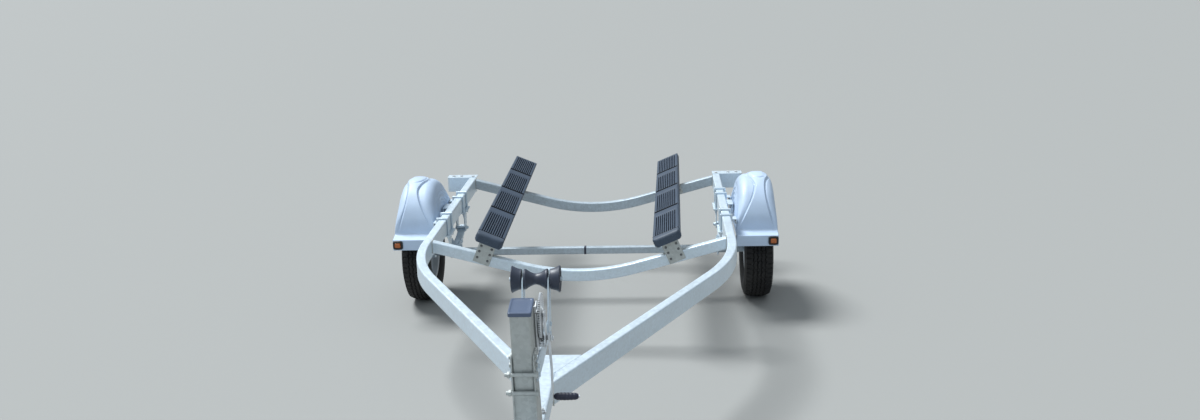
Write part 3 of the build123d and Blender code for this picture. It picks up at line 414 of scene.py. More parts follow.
def new_group(name, inputs, outputs):
    """A shader node group with named sockets; gives its tree, its input sockets and its output sockets."""
    tree = bpy.data.node_groups.new(name, "ShaderNodeTree")
    for label, kind, default in inputs:
        socket = tree.interface.new_socket(label, in_out="INPUT", socket_type=kind)
        if kind != "NodeSocketVector":
            socket.default_value = default
    for label, kind in outputs:
        tree.interface.new_socket(label, in_out="OUTPUT", socket_type=kind)
    return tree, tree.nodes.new("NodeGroupInput").outputs, tree.nodes.new("NodeGroupOutput").inputs


def use_group(tree, name, **values):
    """Place a node group and give its inputs; gives its outputs."""
    made = tree.nodes.new("ShaderNodeGroup")
    made.node_tree = bpy.data.node_groups[name]
    for label, value in values.items():
        link_or_set(tree, made.inputs[label.replace("_", " ").capitalize()], value)
    return made.outputs


def build_groups():
    """The effects that several finishes share."""
    number, vector = "NodeSocketFloat", "NodeSocketVector"

    tree, given, out = new_group("Spangle", [("Scale", number, 90.0), ("Contrast", number, 0.1)],
                                 [("Shade", number), ("Roughness", number), ("Height", number)])
    place = object_place(tree)
    wobble = shader_node(tree, "ShaderNodeTexNoise", {"Vector": place, "Scale": 60.0, "Detail": 2.0})
    mixed = {0: 0.006, 4: place, 5: wobble.outputs["Color"]}
    bent = {"Vector": shader_node(tree, "ShaderNodeMix", mixed, data_type="VECTOR").outputs[1],
            "Scale": given["Scale"]}
    cells = shader_node(tree, "ShaderNodeTexVoronoi", bent)
    grey = shader_node(tree, "ShaderNodeRGBToBW", {0: cells.outputs["Color"]}).outputs[0]
    centred = arithmetic(tree, "SUBTRACT", grey, 0.5)
    cloud = arithmetic(tree, "SUBTRACT", noise(tree, place, 4.0, 4.0), 0.5)
    mottled = plus(tree, times(tree, centred, given["Contrast"]),
                   times(tree, cloud, times(tree, given["Contrast"], 1.6)))
    link_or_set(tree, out["Shade"], plus(tree, mottled, 1.0))
    link_or_set(tree, out["Roughness"], times(tree, centred, 0.22))
    edges = shader_node(tree, "ShaderNodeTexVoronoi", bent, feature="DISTANCE_TO_EDGE").outputs["Distance"]
    grain = noise(tree, place, 420.0, 2.0)
    link_or_set(tree, out["Height"], plus(tree, ranged(tree, edges, 0.0, 0.08), times(tree, grain, 0.6)))

    # Rounded edge: bevel normals, and a mask that lightens edges, partly as rubbed wear and partly as a
    # painted highlight
    tree, given, out = new_group("Rounded edge", [("Radius", number, 0.002), ("Wear", number, 0.5)],
                                 [("Mask", number), ("Normal", vector)])
    bevel = shader_node(tree, "ShaderNodeBevel", {"Radius": given["Radius"]}, samples=6).outputs[0]
    agree = shader_node(tree, "ShaderNodeVectorMath", {0: bevel, 1: surface_normal(tree)},
                        operation="DOT_PRODUCT").outputs["Value"]
    rubbed_and_highlit = times(tree, ranged(tree, agree, 0.995, 0.86), noise(tree, object_place(tree), 35.0, 3.0))
    link_or_set(tree, out["Mask"], times(tree, rubbed_and_highlit, given["Wear"], clamp=True))
    link_or_set(tree, out["Normal"], bevel)

    tree, given, out = new_group("Dust", [("Amount", number, 0.3), ("Ground reach", number, 0.5)],
                                 [("Mask", number)])
    place = object_place(tree)
    low = ranged(tree, upright(tree, place), given["Ground reach"], 0.05)
    lying = ranged(tree, upright(tree, surface_normal(tree)), 0.2, 1.0, 0.15, 0.7)
    patches = ranged(tree, noise(tree, place, 9.0, 6.0, 0.65), 0.38, 0.72)
    speckle = ranged(tree, noise(tree, place, 120.0, 3.0, 0.7), 0.45, 0.75)
    spread = arithmetic(tree, "MAXIMUM", patches, speckle)
    settled = times(tree, arithmetic(tree, "MAXIMUM", low, lying), spread)
    link_or_set(tree, out["Mask"], times(tree, settled, given["Amount"], clamp=True))

    # Recess shade: painted shade, a mask that darkens where ambient occlusion finds the surface closed in
    tree, given, out = new_group("Recess shade", [("Reach", number, 0.01), ("Depth", number, 0.5)],
                                 [("Mask", number)])
    reach = {"Distance": given["Reach"]}
    openness = shader_node(tree, "ShaderNodeAmbientOcclusion", reach, samples=8).outputs["AO"]
    hollow_shade = ranged(tree, openness, 0.90, 0.42)
    link_or_set(tree, out["Mask"], times(tree, hollow_shade, given["Depth"], clamp=True))

    tree, given, out = new_group("Drag marks", [("Density", number, 0.5)], [("Mask", number)])
    long_marks = noise(tree, object_place(tree, (160.0, 3.0, 160.0)), 1.0, 2.0, 0.7)
    where = noise(tree, object_place(tree), 6.0, 3.0)
    mark = times(tree, ranged(tree, long_marks, 0.60, 0.72), ranged(tree, where, 0.42, 0.62))
    link_or_set(tree, out["Mask"], times(tree, mark, given["Density"], clamp=True))


def principled(name, roughness, base, metallic, normal=None, **others):
    """Put a Principled shader in the named material; other values feed or set the sockets that they name."""
    tree = bpy.data.materials[name].node_tree
    shader = tree.nodes["Principled BSDF"]
    link_or_set(tree, shader.inputs["Base Color"], base)
    link_or_set(tree, shader.inputs["Roughness"], roughness)
    link_or_set(tree, shader.inputs["Metallic"], metallic)
    link_or_set(tree, shader.inputs["Normal"], normal)
    for label, value in others.items():
        link_or_set(tree, shader.inputs[label.replace("_", " ")], value)


def fresh_tree(name):
    """The tree of the material of this name, with its shader still plain; the frame brings some of them."""
    material = bpy.data.materials.get(name) or bpy.data.materials.new(name)
    material.use_nodes = True
    return material.node_tree


def bumped(tree, height, distance, strength, normal=None):
    """Turn a height into a normal, on top of another one if it is given."""
    inputs = {"Height": height, "Distance": distance, "Strength": strength, "Normal": normal}
    return shader_node(tree, "ShaderNodeBump", inputs).outputs[0]


def zinc_coat(name, colour, spangle, contrast, roughness, metallic, dust):
    """Hot-dip zinc: crystals of slightly different shade, clouds, edges lightened partly as rubbed wear and
    partly as a painted highlight, and settled dust.
    """
    tree = fresh_tree(name)
    crystals = use_group(tree, "Spangle", scale=1.0 / spangle, contrast=contrast)
    edge = use_group(tree, "Rounded edge", radius=0.0022, wear=0.5)
    soil = use_group(tree, "Dust", amount=dust, ground_reach=0.45)["Mask"]
    shaded = tinted(tree, colour, crystals["Shade"])
    # Edges lightened towards a brighter zinc: partly rubbed wear, partly painted highlight
    bright = blended(tree, edge["Mask"], shaded, rgba([min(1.0, part * 1.22) for part in colour]))
    base = blended(tree, soil, bright, ZINC_DUST)
    rough = plus(tree, plus(tree, crystals["Roughness"], roughness), times(tree, soil, 0.3))
    normal = bumped(tree, crystals["Height"], 0.0002, 0.5, edge["Normal"])
    principled(name, rough, base, metallic, normal)


def plated(name, colour, roughness):
    """Bright plate: fine rolled grain, rubbed edges, a little tarnish and painted shade in narrow gaps."""
    tree = fresh_tree(name)
    grain = noise(tree, object_place(tree, (1, 1, 8)), 300.0, 2.0)
    tarnish = ranged(tree, noise(tree, object_place(tree), 22.0, 5.0, 0.65), 0.5, 0.75)
    edge = use_group(tree, "Rounded edge", radius=0.0012, wear=0.6)
    clean = blended(tree, times(tree, tarnish, 0.35), rgba(colour), TARNISH)
    # Painted shade: narrow gaps darkened where ambient occlusion finds them closed in
    gap = use_group(tree, "Recess shade", reach=0.009, depth=0.8)["Mask"]
    base = blended(tree, gap, clean, scaled(colour, 0.12))
    rough = plus(tree, times(tree, grain, 0.12), plus(tree, roughness, times(tree, tarnish, 0.2)))
    principled(name, rough, base, 0.30, bumped(tree, grain, 0.0001, 0.4, edge["Normal"]))


def moulded(name, colour, roughness, grain_size, grain_depth, dust, marks=0.0, mark_and_highlight_colour=(0.4, 0.4, 0.4),
            edge=0.0, coat=0.0, specular=0.5, recess_shade=0.0, wear=0.0):
    """Moulded plastic or rubber: fine leathery grain, faint clouds in its colour, dust, drag marks, painted
    shade in recesses and rounded edges, lightened partly as wear and partly as a painted highlight."""
    tree = fresh_tree(name)
    place = object_place(tree)
    grain = noise(tree, place, 1.0 / grain_size, 3.0, 0.6)
    cloud = noise(tree, place, 5.0, 4.0, 0.6)
    soil = use_group(tree, "Dust", amount=dust, ground_reach=0.55)["Mask"]
    base = tinted(tree, colour, ranged(tree, cloud, 0.25, 0.75, 0.90, 1.08))
    rough = plus(tree, times(tree, cloud, 0.12), roughness)
    if marks:
        scratch = use_group(tree, "Drag marks", density=marks)["Mask"]
        base = blended(tree, scratch, base, rgba(mark_and_highlight_colour))
        rough = plus(tree, rough, times(tree, scratch, 0.25))
    base = blended(tree, soil, base, PLASTIC_DUST)
    # Painted shade: recesses darkened, with less specular, where ambient occlusion finds them closed in
    if recess_shade:
        dark = use_group(tree, "Recess shade", reach=0.012, depth=recess_shade)["Mask"]
        base = blended(tree, dark, base, scaled(colour, 0.25))
        specular = times(tree, arithmetic(tree, "SUBTRACT", 1.0, dark), specular)
    rounded = None
    # Edges lightened towards the mark colour: partly wear, partly painted highlight
    if edge:
        rounding = use_group(tree, "Rounded edge", radius=edge, wear=wear)
        rounded = rounding["Normal"]
        base = blended(tree, rounding["Mask"], base, rgba(mark_and_highlight_colour))
    normal = bumped(tree, grain, grain_depth, 0.6, rounded)
    principled(name, rough, base, 0.0, normal, Coat_Weight=coat, Specular_IOR_Level=specular)


def timber(name):
    """Sawn softwood: growth rings stretched along the board, with pores."""
    tree = fresh_tree(name)
    growth = {"Vector": object_place(tree, (34.0, 1.2, 34.0)), "Scale": 1.0, "Distortion": 5.0, "Detail": 3.0,
              "Detail Scale": 1.6}
    rings = shader_node(tree, "ShaderNodeTexWave", growth).outputs[1]
    pores = noise(tree, object_place(tree, (300.0, 14.0, 300.0)), 1.0, 2.0)
    base = blended(tree, rings, (0.30, 0.22, 0.13, 1), (0.42, 0.34, 0.22, 1))
    base = blended(tree, ranged(tree, pores, 0.55, 0.8, 0.0, 0.5), base, (0.20, 0.15, 0.09, 1))
    principled(name, 0.75, base, 0.0, bumped(tree, plus(tree, rings, pores), 0.0006, 0.5))


def lens(name, colour):
    """Moulded lens: deep clear colour over fine prisms."""
    tree = fresh_tree(name)
    place = object_place(tree)
    prisms = times(tree, waves(tree, place, 60.0, "X"), waves(tree, place, 60.0, "Z"))
    base = blended(tree, prisms, scaled(colour, 0.55), rgba(colour))
    principled(name, 0.12, base, 0.0, bumped(tree, prisms, 0.0006, 0.5), Coat_Weight=0.6)


def woven(name, colour):
    """Webbing: ribs across and threads along, from two waves."""
    tree = fresh_tree(name)
    place = object_place(tree)
    weave = times(tree, waves(tree, place, 180.0, "X"), waves(tree, place, 120.0, "DIAGONAL"))
    base = blended(tree, weave, scaled(colour, 0.5), scaled(colour, 1.5))
    principled(name, 0.85, base, 0.0, bumped(tree, weave, 0.0005, 0.8))


def build_finishes(look):
    """Make each finish once: those of the record's slots by their names, and a few more for single pieces."""
    build_groups()
    zinc_coat("galvanised", look.zinc_colour, look.spangle_size, 0.13, 0.38, 0.35, 0.05)
    zinc_coat("galvanised_dull", look.dull_zinc_colour, look.spangle_size * 1.3, 0.26, 0.46, 0.35, 0.08)
    # Darker copy of the zinc: painted shade for the axle and the rear crossmember
    zinc_coat("shaded_zinc", scaled(look.zinc_colour, 0.68), look.spangle_size, 0.24, 0.44, 0.35, 0.10)
    zinc_coat("weld_zinc", look.dull_zinc_colour, 0.004, 0.30, 0.42, 0.5, 0.3)
    plated("zinc_plated", look.plate_colour, 0.27)
    # Dark plated finish for the bolts on the bunk plates
    plated("dark_bolts", (0.15, 0.155, 0.16), 0.5)
    # The recess values paint shade into the fenders' creases and the bunk covers' grooves
    moulded("fender_plastic", look.fender_colour, 0.42, 0.0012, 0.00004, 0.03, marks=0.06,
            mark_and_highlight_colour=(0.5, 0.5, 0.5), coat=0.03, recess_shade=0.75)
    # The bunk covers' and nose caps' edges are lightened partly as wear and partly as a painted highlight
    moulded("bunk_plastic", look.bunk_colour, 0.42, 0.0008, 0.00012, 0.02, marks=0.3,
            mark_and_highlight_colour=(0.16, 0.20, 0.27), edge=0.0015, specular=0.32, recess_shade=1.0, wear=1.6)
    moulded("bunk_worn_and_highlit", look.bunk_colour, 0.50, 0.0015, 0.0002, 0.10, marks=0.6,
            mark_and_highlight_colour=(0.17, 0.20, 0.26), edge=0.0045, specular=0.4, wear=2.2)
    # Near-black and nearly without specular: the painted shadow in the bunk covers' joints
    moulded("joint_shadow", (0.008, 0.009, 0.011), 0.8, 0.001, 0.0001, 0.0, specular=0.1)
    moulded("marker_black", (0.016, 0.013, 0.013), 0.34, 0.001, 0.00005, 0.03, specular=0.4)
    moulded("tyre_rubber", (0.009, 0.009, 0.010), 0.62, 0.001, 0.0002, 0.07, specular=0.35)
    # Black rubber tinted blue as a painted sky sheen
    moulded("roller_rubber", (0.020, 0.029, 0.056), 0.40, 0.0015, 0.00008, 0.06, marks=0.3,
            mark_and_highlight_colour=(0.10, 0.12, 0.16), specular=0.7)
    # The cap's colour carries a painted sky reflection in its blue
    moulded("cap_plastic", look.cap_colour, 0.26, 0.0009, 0.0001, 0.05, edge=0.0012, specular=0.55)
    moulded("black_plastic", (0.020, 0.023, 0.046), 0.28, 0.0009, 0.0001, 0.03, edge=0.0012, specular=0.5)
    moulded("wheel_paint", (0.50, 0.53, 0.56), 0.30, 0.002, 0.00005, 0.20, edge=0.0015, coat=0.2)
    timber("treated_timber")
    lens("amber_lens", (0.66, 0.155, 0.014))
    lens("red_lens", (0.55, 0.012, 0.010))
    woven("webbing", (0.030, 0.032, 0.036))


def dress_nodes():
    """Give each CAD node the finish of its slot; the axle and the rear crossmember get a darker copy of
    the zinc, as painted shade."""
    for name, piece in NODES.items():
        finish = "shaded_zinc" if name in ("axle", "cross_rear") else SLOT_OF[name]
        piece.data.materials.clear()
        piece.data.materials.append(bpy.data.materials[finish])


# Moulded covers

def hood(path, normals, radius, low_side, high_side, raised, low_foot, high_foot, wall_columns, flat_x=None,
         flat_columns=None, high_turn=None):
    """Open moulding bent along a path of (along, height) points.

    Across each station run a side wall, a quarter circle of the given radius in the plane of X and the
    station's normal, the top, a second quarter circle and the other wall. A wall goes straight from the
    quarter circle's foot to a point of the foot curve. The top is lifted along the normal by
    raised(x, station). Between the quarter circles it has flat_columns even lines, or lines at the places
    that flat_x gives for each station. Those round the high quarter circle are even, or at the angles
    high_turn. wall_columns counts the lines of the low and the high wall.
    """
    count = len(path)
    inset = path - radius[:, None] * normals
    turn = np.linspace(0, np.pi / 2, 10)
    low_x = low_side(inset[:, 1])
    high_x = high_side(inset[:, 1])
    start, end = (low_x + radius)[:, None], (high_x - radius)[:, None]
    if flat_x is None:
        flat = start + (end - start) * np.linspace(0, 1, flat_columns + 2)[1:-1]
    else:
        flat = np.clip(flat_x, start + 0.001, end - 0.001)
    high_turn = np.broadcast_to(turn, (count, len(turn))) if high_turn is None else high_turn
    across = [start - radius[:, None] * np.cos(turn), flat, end + radius[:, None] * np.sin(high_turn)]
    out = [radius[:, None] * np.sin(turn), np.broadcast_to(radius[:, None], flat.shape),
           radius[:, None] * np.cos(high_turn)]
    x = np.concatenate(across, axis=1)
    offset = np.concatenate(out, axis=1) + raised(x, np.arange(count)[:, None])
    along, height = (inset[:, part, None] + offset * normals[:, part, None] for part in (0, 1))
    top = np.stack([x, along, height], axis=-1)

    def wall(side, foot, columns):
        """Straight lines from the quarter circle down to the foot curve."""
        drop = np.linspace(0, 1, columns)[None, :, None]
        flat = inset[:, None] + (foot - inset)[:, None] * drop
        return np.stack([side(flat[..., 1]), flat[..., 0], flat[..., 1]], axis=-1)

    low_wall = wall(low_side, low_foot, wall_columns[0])[:, ::-1]
    high_wall = wall(high_side, high_foot, wall_columns[1])
    grid = np.concatenate([low_wall[:, :-1], top, high_wall[:, 1:]], axis=1)
    return grid.reshape(-1, 3), grid_faces(*grid.shape[:2])


def fender_path(shape):
    """Stations of the fender's side outline, front half and its mirror image, with their outward normals:
    the lip, a small arc, the ledge and the circle over the wheel."""
    lip_y = round((FENDER_HIGH[1] - FENDER_LOW[1]) / 2, 4)
    arch = (ARCH_HALF ** 2 + (ARCH_TOP - LEDGE_TOP) ** 2) / (2 * (ARCH_TOP - LEDGE_TOP))
    centre = ARCH_TOP - arch
    edge = shape.edge_radius
    slope = math.atan2(LEDGE_TOP - LIP_TOP, lip_y - ARCH_HALF)
    rise = np.linspace(FENDER_LOW[2], LIP_TOP - edge, RISE_STATIONS)
    front = [np.stack([np.full(RISE_STATIONS, -lip_y), rise], 1)]
    facing = [np.tile([-1.0, 0.0], (RISE_STATIONS, 1))]
    turn = np.linspace(0, np.pi / 2 - slope, BEND_STATIONS + 1)[1:]
    front.append(np.stack([-lip_y + edge * (1 - np.cos(turn)), LIP_TOP - edge + edge * np.sin(turn)], 1))
    facing.append(np.stack([-np.cos(turn), np.sin(turn)], 1))
    along = np.linspace(0.1, 0.93, LEDGE_STATIONS)[:, None]
    front.append(front[-1][-1] + along * (np.array([-ARCH_HALF, LEDGE_TOP]) - front[-1][-1]))
    facing.append(np.tile([-math.sin(slope), math.cos(slope)], (LEDGE_STATIONS, 1)))
    limit = math.asin(ARCH_HALF / arch)
    angle = limit * 0.985 * np.linspace(1, 0, ARCH_STATIONS) ** 1.4
    front.append(np.stack([-arch * np.sin(angle), centre + arch * np.cos(angle)], 1))
    facing.append(np.stack([-np.sin(angle), np.cos(angle)], 1))
    front, facing = np.concatenate(front), np.concatenate(facing)
    turned_back = np.array([-1.0, 1.0])
    path = np.concatenate([front, front[-2::-1] * turned_back])
    normals = np.concatenate([facing, facing[-2::-1] * turned_back])
    on_arch = (np.minimum(np.arange(len(path)), np.arange(len(path))[::-1]) >= ARCH_START).astype(float)
    return path, normals, on_arch, centre


def fender_feet(inset):
    """Lower edges of the fender's inner and outer wall, as (along, height) for each station. The inner one
    has a straight opening for the wheel, the outer one a round one."""
    last = len(inset) - 1
    ends = (0, RISE_STATIONS, ARCH_START, last // 2, last - ARCH_START, last - RISE_STATIONS, last)
    reach, open_half = abs(inset[0, 0]), 0.348
    lip_end = reach - 0.02
    along = np.interp(np.arange(last + 1), ends, (-reach, -lip_end, -open_half, 0, open_half, lip_end, reach))
    straight_half, straight_top, round_half, round_radius = 0.340, 0.480, 0.349, 0.350
    inner = np.where(np.abs(along) < straight_half, straight_top, FENDER_LOW[2])
    opening = AXLE[2] + np.sqrt(np.maximum(round_radius ** 2 - along ** 2, 0))
    outer = np.where(np.abs(along) < round_half, np.maximum(opening, FENDER_LOW[2]), FENDER_LOW[2])
    return np.stack([along, inner], 1), np.stack([along, outer], 1)


def fender_shell(shape):
    """Right fender. The top carries a raised panel whose two edges flare from the crown down to the ledge,
    each with a crease of a Gaussian profile, and an oval line of the same profile on the crown. Three
    Gaussian ridges run round the inner wall."""
    path, normals, on_arch, centre = fender_path(shape)
    angle = np.degrees(np.arctan2(np.abs(path[:, 0]), path[:, 1] - centre)) * on_arch + 90 * (1 - on_arch)
    grown = smoothstep((path[:, 1] - SHOULDER_FROM) / 0.17)
    radius = shape.edge_radius + (shape.shoulder_radius - shape.edge_radius) * grown
    radius = np.where(on_arch > 0, radius, shape.edge_radius)
    inner_edge = curved(angle, *zip(*PANEL_INNER))
    outer_edge = curved(angle, *zip(*PANEL_OUTER))
    lift = shape.panel_rise * eased(angle, (0, 20, 45, 62, 79, 90), (1.0, 0.78, 0.55, 0.45, 0.0, 0.0))
    width = eased(angle, (0, 10, 24, 90), (0.014, 0.011, 0.008, 0.008))
    arched = eased(angle, (0, 16, 34, 90), (0.62, 0.45, 0.0, 0.0))
    inner_cut = shape.crease_depth * eased(angle, (0, 3, 44, 60, 90), (0.5, 1.0, 1.0, 0.15, 0.0))
    outer_cut = shape.crease_depth * eased(angle, (0, 3, 62, 79, 90), (0.7, 1.25, 1.0, 0.2, 0.0))
    along = np.cumsum(np.concatenate([[0], np.linalg.norm(np.diff(path, axis=0), axis=1)]))
    along -= along[len(path) // 2]
    crease_width, crease_out, oval_width, oval_half, oval_mean = 0.0042, 0.002, 0.0052, 0.054, 0.066

    def raised(x, station):
        """Height of the panel, less its creases and the oval's line, at a distance x from the middle."""
        inner, outer = inner_edge[station], outer_edge[station]
        step = smoothstep((x - inner) / width[station]) * smoothstep((outer - x) / width[station])
        middle, half = (inner + outer) / 2, (outer - inner) / 2
        dome = 1 - arched[station] * np.clip(np.abs(x - middle) / half, 0, 1) ** 2
        cut = inner_cut[station] * np.exp(-((x - inner + crease_out) / crease_width) ** 2)
        cut = cut + outer_cut[station] * np.exp(-((x - outer - crease_out) / crease_width) ** 2)
        oval = np.hypot((x - middle) / oval_half, along[station] / shape.crown_length)
        cut = cut + shape.crown_depth * np.exp(-((oval - 1) * oval_mean / oval_width) ** 2)
        return lift[station] * step * dome - cut + 0.4 * shape.crown_depth * smoothstep((1 - oval) / 0.15)

    # Lines along the fender, close together at the panel's edges
    start = (FENDER_LOW[0] + radius)[:, None]
    inner, outer = inner_edge[:, None], outer_edge[:, None]
    side_end = FENDER_HIGH[0] - radius[:, None]
    near_inner, near_outer = np.linspace(-0.013, 0.020, 18), np.linspace(-0.014, 0.013, 16)
    past_inner, to_outer, past_outer = inner + near_inner[-1], outer + near_outer[0], outer + near_outer[-1]
    columns = [start + (inner + near_inner[0] - start) * np.linspace(0.06, 1, 8)[:-1],
               inner + near_inner[:-1],
               past_inner + (to_outer - past_inner) * np.linspace(0, 1, 28)[:-1],
               outer + near_outer[:-1],
               past_outer + (side_end - past_outer) * np.linspace(0, 0.94, 6)]
    flat_x = np.maximum.accumulate(np.concatenate(columns, axis=1), axis=1)

    def low_side(z):
        """Inner side's distance from the middle, straight from the ledge up."""
        return FENDER_LOW[0] + INNER_TAPER * np.clip((z - LEDGE_TOP) / TAPER_HEIGHT, 0, 1)

    def high_side(z):
        """Outer side's distance from the middle, likewise."""
        return FENDER_HIGH[0] - OUTER_TAPER * np.clip((z - LEDGE_TOP) / TAPER_HEIGHT, 0, 1)

    inset = path - radius[:, None] * normals
    lines = 18
    past_end = outer + np.linspace(-0.014, 0.014, lines) - (high_side(inset[:, 1]) - radius)[:, None]
    crease = np.clip(np.arcsin(np.clip(past_end / radius[:, None], 0, 1)), np.linspace(0.02, 0.2, lines),
                     np.linspace(0.9, 1.1, lines))
    rest = crease[:, -1:] + (np.pi / 2 - crease[:, -1:]) * np.linspace(0, 1, 8)[1:]
    high_turn = np.concatenate([np.zeros((len(path), 1)), crease, rest], axis=1)

    points, faces = hood(path, normals, radius, low_side, high_side, raised, *fender_feet(inset),
                         wall_columns=(34, 12), flat_x=flat_x, high_turn=high_turn)
    away = np.hypot(points[:, 1], points[:, 2] - centre)
    on_wall = points[:, 0] < low_side(points[:, 2]) + 0.0005
    ridge_width, ridge_height = 0.006, 0.0050
    ridge = sum(np.exp(-((away - distance) / ridge_width) ** 2) for distance in (0.195, 0.225, 0.255))
    above = smoothstep((points[:, 2] - SHOULDER_FROM) / 0.03)
    points[:, 0] -= np.where(on_wall, ridge_height * ridge * above, 0)
    return points + np.array([0, AXLE[1], 0]), faces


def make_fender(shell, side):
    """One fender: the shell with its wall added."""
    piece = add_piece(f"fender_shell_{side}", *on_side(side, *shell), "fender_plastic", "frame",
                      "fender_plastic", [f"fender_{side}"])
    point_outwards(piece, Vector((SIDES[side] * AXLE[0], AXLE[1], SHOULDER_FROM)))
    thickened(piece, FENDER_WALL)


def point_outwards(piece, inside):
    """Turn an open shell's faces over if they look towards a point inside it."""
    mesh = piece.data
    score = sum((face.center - inside).dot(face.normal) * face.area for face in mesh.polygons)
    if score < 0:
        mesh.flip_normals()


def channel(outer, inner):
    """Closed solid between an outer and an inner sheet of the same grid, with both ends and edges joined."""
    rows, columns = outer.shape[:2]
    loop = np.concatenate([outer, inner[:, ::-1]], axis=1)
    faces = [grid_faces(rows, 2 * columns, wrap_columns=True)]
    step = np.arange(columns - 1)
    for row, flip in ((0, 1), (rows - 1, -1)):
        start = row * 2 * columns
        end = start + 2 * columns - 1
        cap = np.stack([start + step, start + step + 1, end - 1 - step, end - step], 1)
        faces.append(cap[:, ::flip])
    return loop.reshape(-1, 3), np.concatenate(faces)


def on_bunk(points):
    """Carry points made flat, with x across, y from the nose and the top at z = 0, to the right bunk."""
    turn = Matrix.Rotation(-BUNK_SPLAY, 3, "Z") @ Matrix.Rotation(-BUNK_TILT, 3, "Y")
    return points @ np.array(turn).T + np.array(BUNK_NOSE)


def cover_section(shape, start, end, band):
    """One ribbed length of bunk cover, closed. Its top is cut by lengthwise grooves, of a smoothed cosine
    across, open at the near end; the plain band at the far end is a low parabola that falls to the joint."""
    half, skirt, wall, corner, rounded = BUNK_WIDTH / 2, 0.032, 0.006, 0.008, 0.004
    deepest, inner_top, groove_ramp, band_step, band_fall = 0.0088, 0.0099, 0.014, 0.0014, 0.0062
    turn = np.linspace(0, np.pi / 2, 7)
    flat_x = np.linspace(-half + corner, half - corner, 2 + shape.grooves * 10)[1:-1]
    x = np.concatenate([[-half, -half], -half + corner * (1 - np.cos(turn)), flat_x,
                        half - corner * (1 - np.sin(turn)), [half, half]])
    z = np.concatenate([[-skirt, -skirt * 0.6], -corner * (1 - np.sin(turn)), np.zeros(len(flat_x)),
                        -corner * (1 - np.cos(turn)), [-skirt * 0.6, -skirt]])
    length = end - start
    far = length - band
    rounding = rounded * (1 - np.cos(np.linspace(0, np.pi / 2, 6)))
    rows = np.concatenate([rounding, np.linspace(0.02, far - 0.03, 16),
                           far + np.array([-0.018, -0.012, -0.006, 0.0, 0.003, 0.006]),
                           np.linspace(far + 0.02, length - 0.01, 5), length - rounding])
    rows = np.unique(np.round(rows[rows <= length], 5))
    depth = smoothstep((far - 0.002 - rows) / groove_ramp)
    edge = np.clip(1 - np.minimum(rows, length - rows) / rounded, 0, 1)
    fall = rounded * (1 - np.sqrt(1 - edge ** 2))
    wave = smoothstep((np.cos(2 * np.pi * (x / shape.groove_pitch + 0.5)) - 0.05) / 0.5)
    inside = smoothstep((shape.grooves * shape.groove_pitch / 2 - np.abs(x)) / 0.0015)
    past = np.clip((rows - far) / band, 0, 1)
    band_rise = band_step * smoothstep((rows - far) / 0.006) - band_fall * past ** 2 - fall
    flat = np.abs(x) < half - corner * 0.5
    dent = -shape.groove_depth * depth[:, None] * wave * inside + band_rise[:, None] * flat
    inner_x = np.clip(x, -half + wall, half - wall)
    inner_z = np.minimum(z, -inner_top)
    inner_z[[0, -1]] = -skirt

    def sheet(across, heights):
        """Grid of points, rows along the cover and columns across it."""
        return np.stack(np.broadcast_arrays(across, (start + rows)[:, None], heights), -1)

    top = sheet(x, z + np.maximum(dent, -deepest))
    return channel(top, sheet(inner_x, np.broadcast_to(inner_z, dent.shape)))


def cover_nose(shape):
    """The cap over the board's front end: the cover's section carried forwards and then down round a quarter
    circle, with its sides closed by walls. The square at each front corner in plan, and at each lower corner
    seen from the front, goes to a quarter disc by (u, v) -> (u sqrt(1 - v^2 / 2), v sqrt(1 - u^2 / 2))."""
    length = COVER_STARTS[0] - COVER_GAP
    bend, drop, edge, low_corner, worn = 0.022, 0.052, 0.009, 0.014, 0.0012
    angle = np.linspace(0, np.pi / 2, 14)
    back = np.linspace(length, bend, 8)[:-1]
    path = np.concatenate([np.stack([back, np.zeros(7)], 1),
                           np.stack([bend - bend * np.sin(angle), -bend + bend * np.cos(angle)], 1),
                           np.stack([np.zeros(5), np.linspace(-bend, -drop, 6)[1:]], 1)])
    normals = np.concatenate([np.tile([0.0, 1.0], (7, 1)), np.stack([-np.sin(angle), np.cos(angle)], 1),
                              np.tile([-1.0, 0.0], (5, 1))])
    order = np.arange(len(path))
    radius = np.interp(order, (0, 8, order[-1]), (edge, edge, 0.017))
    inset = path - radius[:, None] * normals
    foot_y = np.interp(order, (0, 6, order[-1]), (length, 0.03, radius[-1]))
    foot = np.stack([foot_y, np.full(len(path), -drop)], 1)
    foot[-1] = inset[-1]
    half = BUNK_WIDTH / 2

    def raised(x, station):
        """Shallow squared cosine, worn into the front."""
        return -worn * np.cos(np.pi * x / half) ** 2 * (station > 6)

    points, faces = hood(path, normals, radius, lambda z: np.full(np.shape(z), -half),
                         lambda z: np.full(np.shape(z), half), raised, foot, foot, wall_columns=(12, 12),
                         flat_columns=26)
    for corner, across, edge_at in ((shape.nose_corner, 1, 0.0), (low_corner, 2, -drop)):
        u = np.clip((np.abs(points[:, 0]) - half + corner) / corner, 0, 1)
        v = np.clip((corner + edge_at - points[:, across]) / corner, 0, 1)
        points[:, 0] += np.sign(points[:, 0]) * corner * u * (np.sqrt(1 - v ** 2 / 2) - 1)
        points[:, across] -= corner * v * (np.sqrt(1 - u ** 2 / 2) - 1)
    return points, faces


def cover_joint_shadows():
    """A near-black strip in the bottom of each joint, as painted shadow of the gap: a flat box that reaches
    a little under both sections.
    """
    half = BUNK_WIDTH / 2 - 0.002
    overlap, bottom, top = 0.003, -0.0098, -0.0014
    near, far = -COVER_GAP - overlap, overlap
    corners = np.array([(x, y, z) for z in (bottom, top)
                        for x, y in ((-half, near), (half, near), (half, far), (-half, far))])
    sides = np.array([(0, 3, 2, 1), (4, 5, 6, 7), (0, 1, 5, 4), (1, 2, 6, 5), (2, 3, 7, 6), (3, 0, 4, 7)])
    return placed(corners, sides, [(0, start, 0) for start in COVER_STARTS], [(0, 0, 1)] * len(COVER_STARTS))


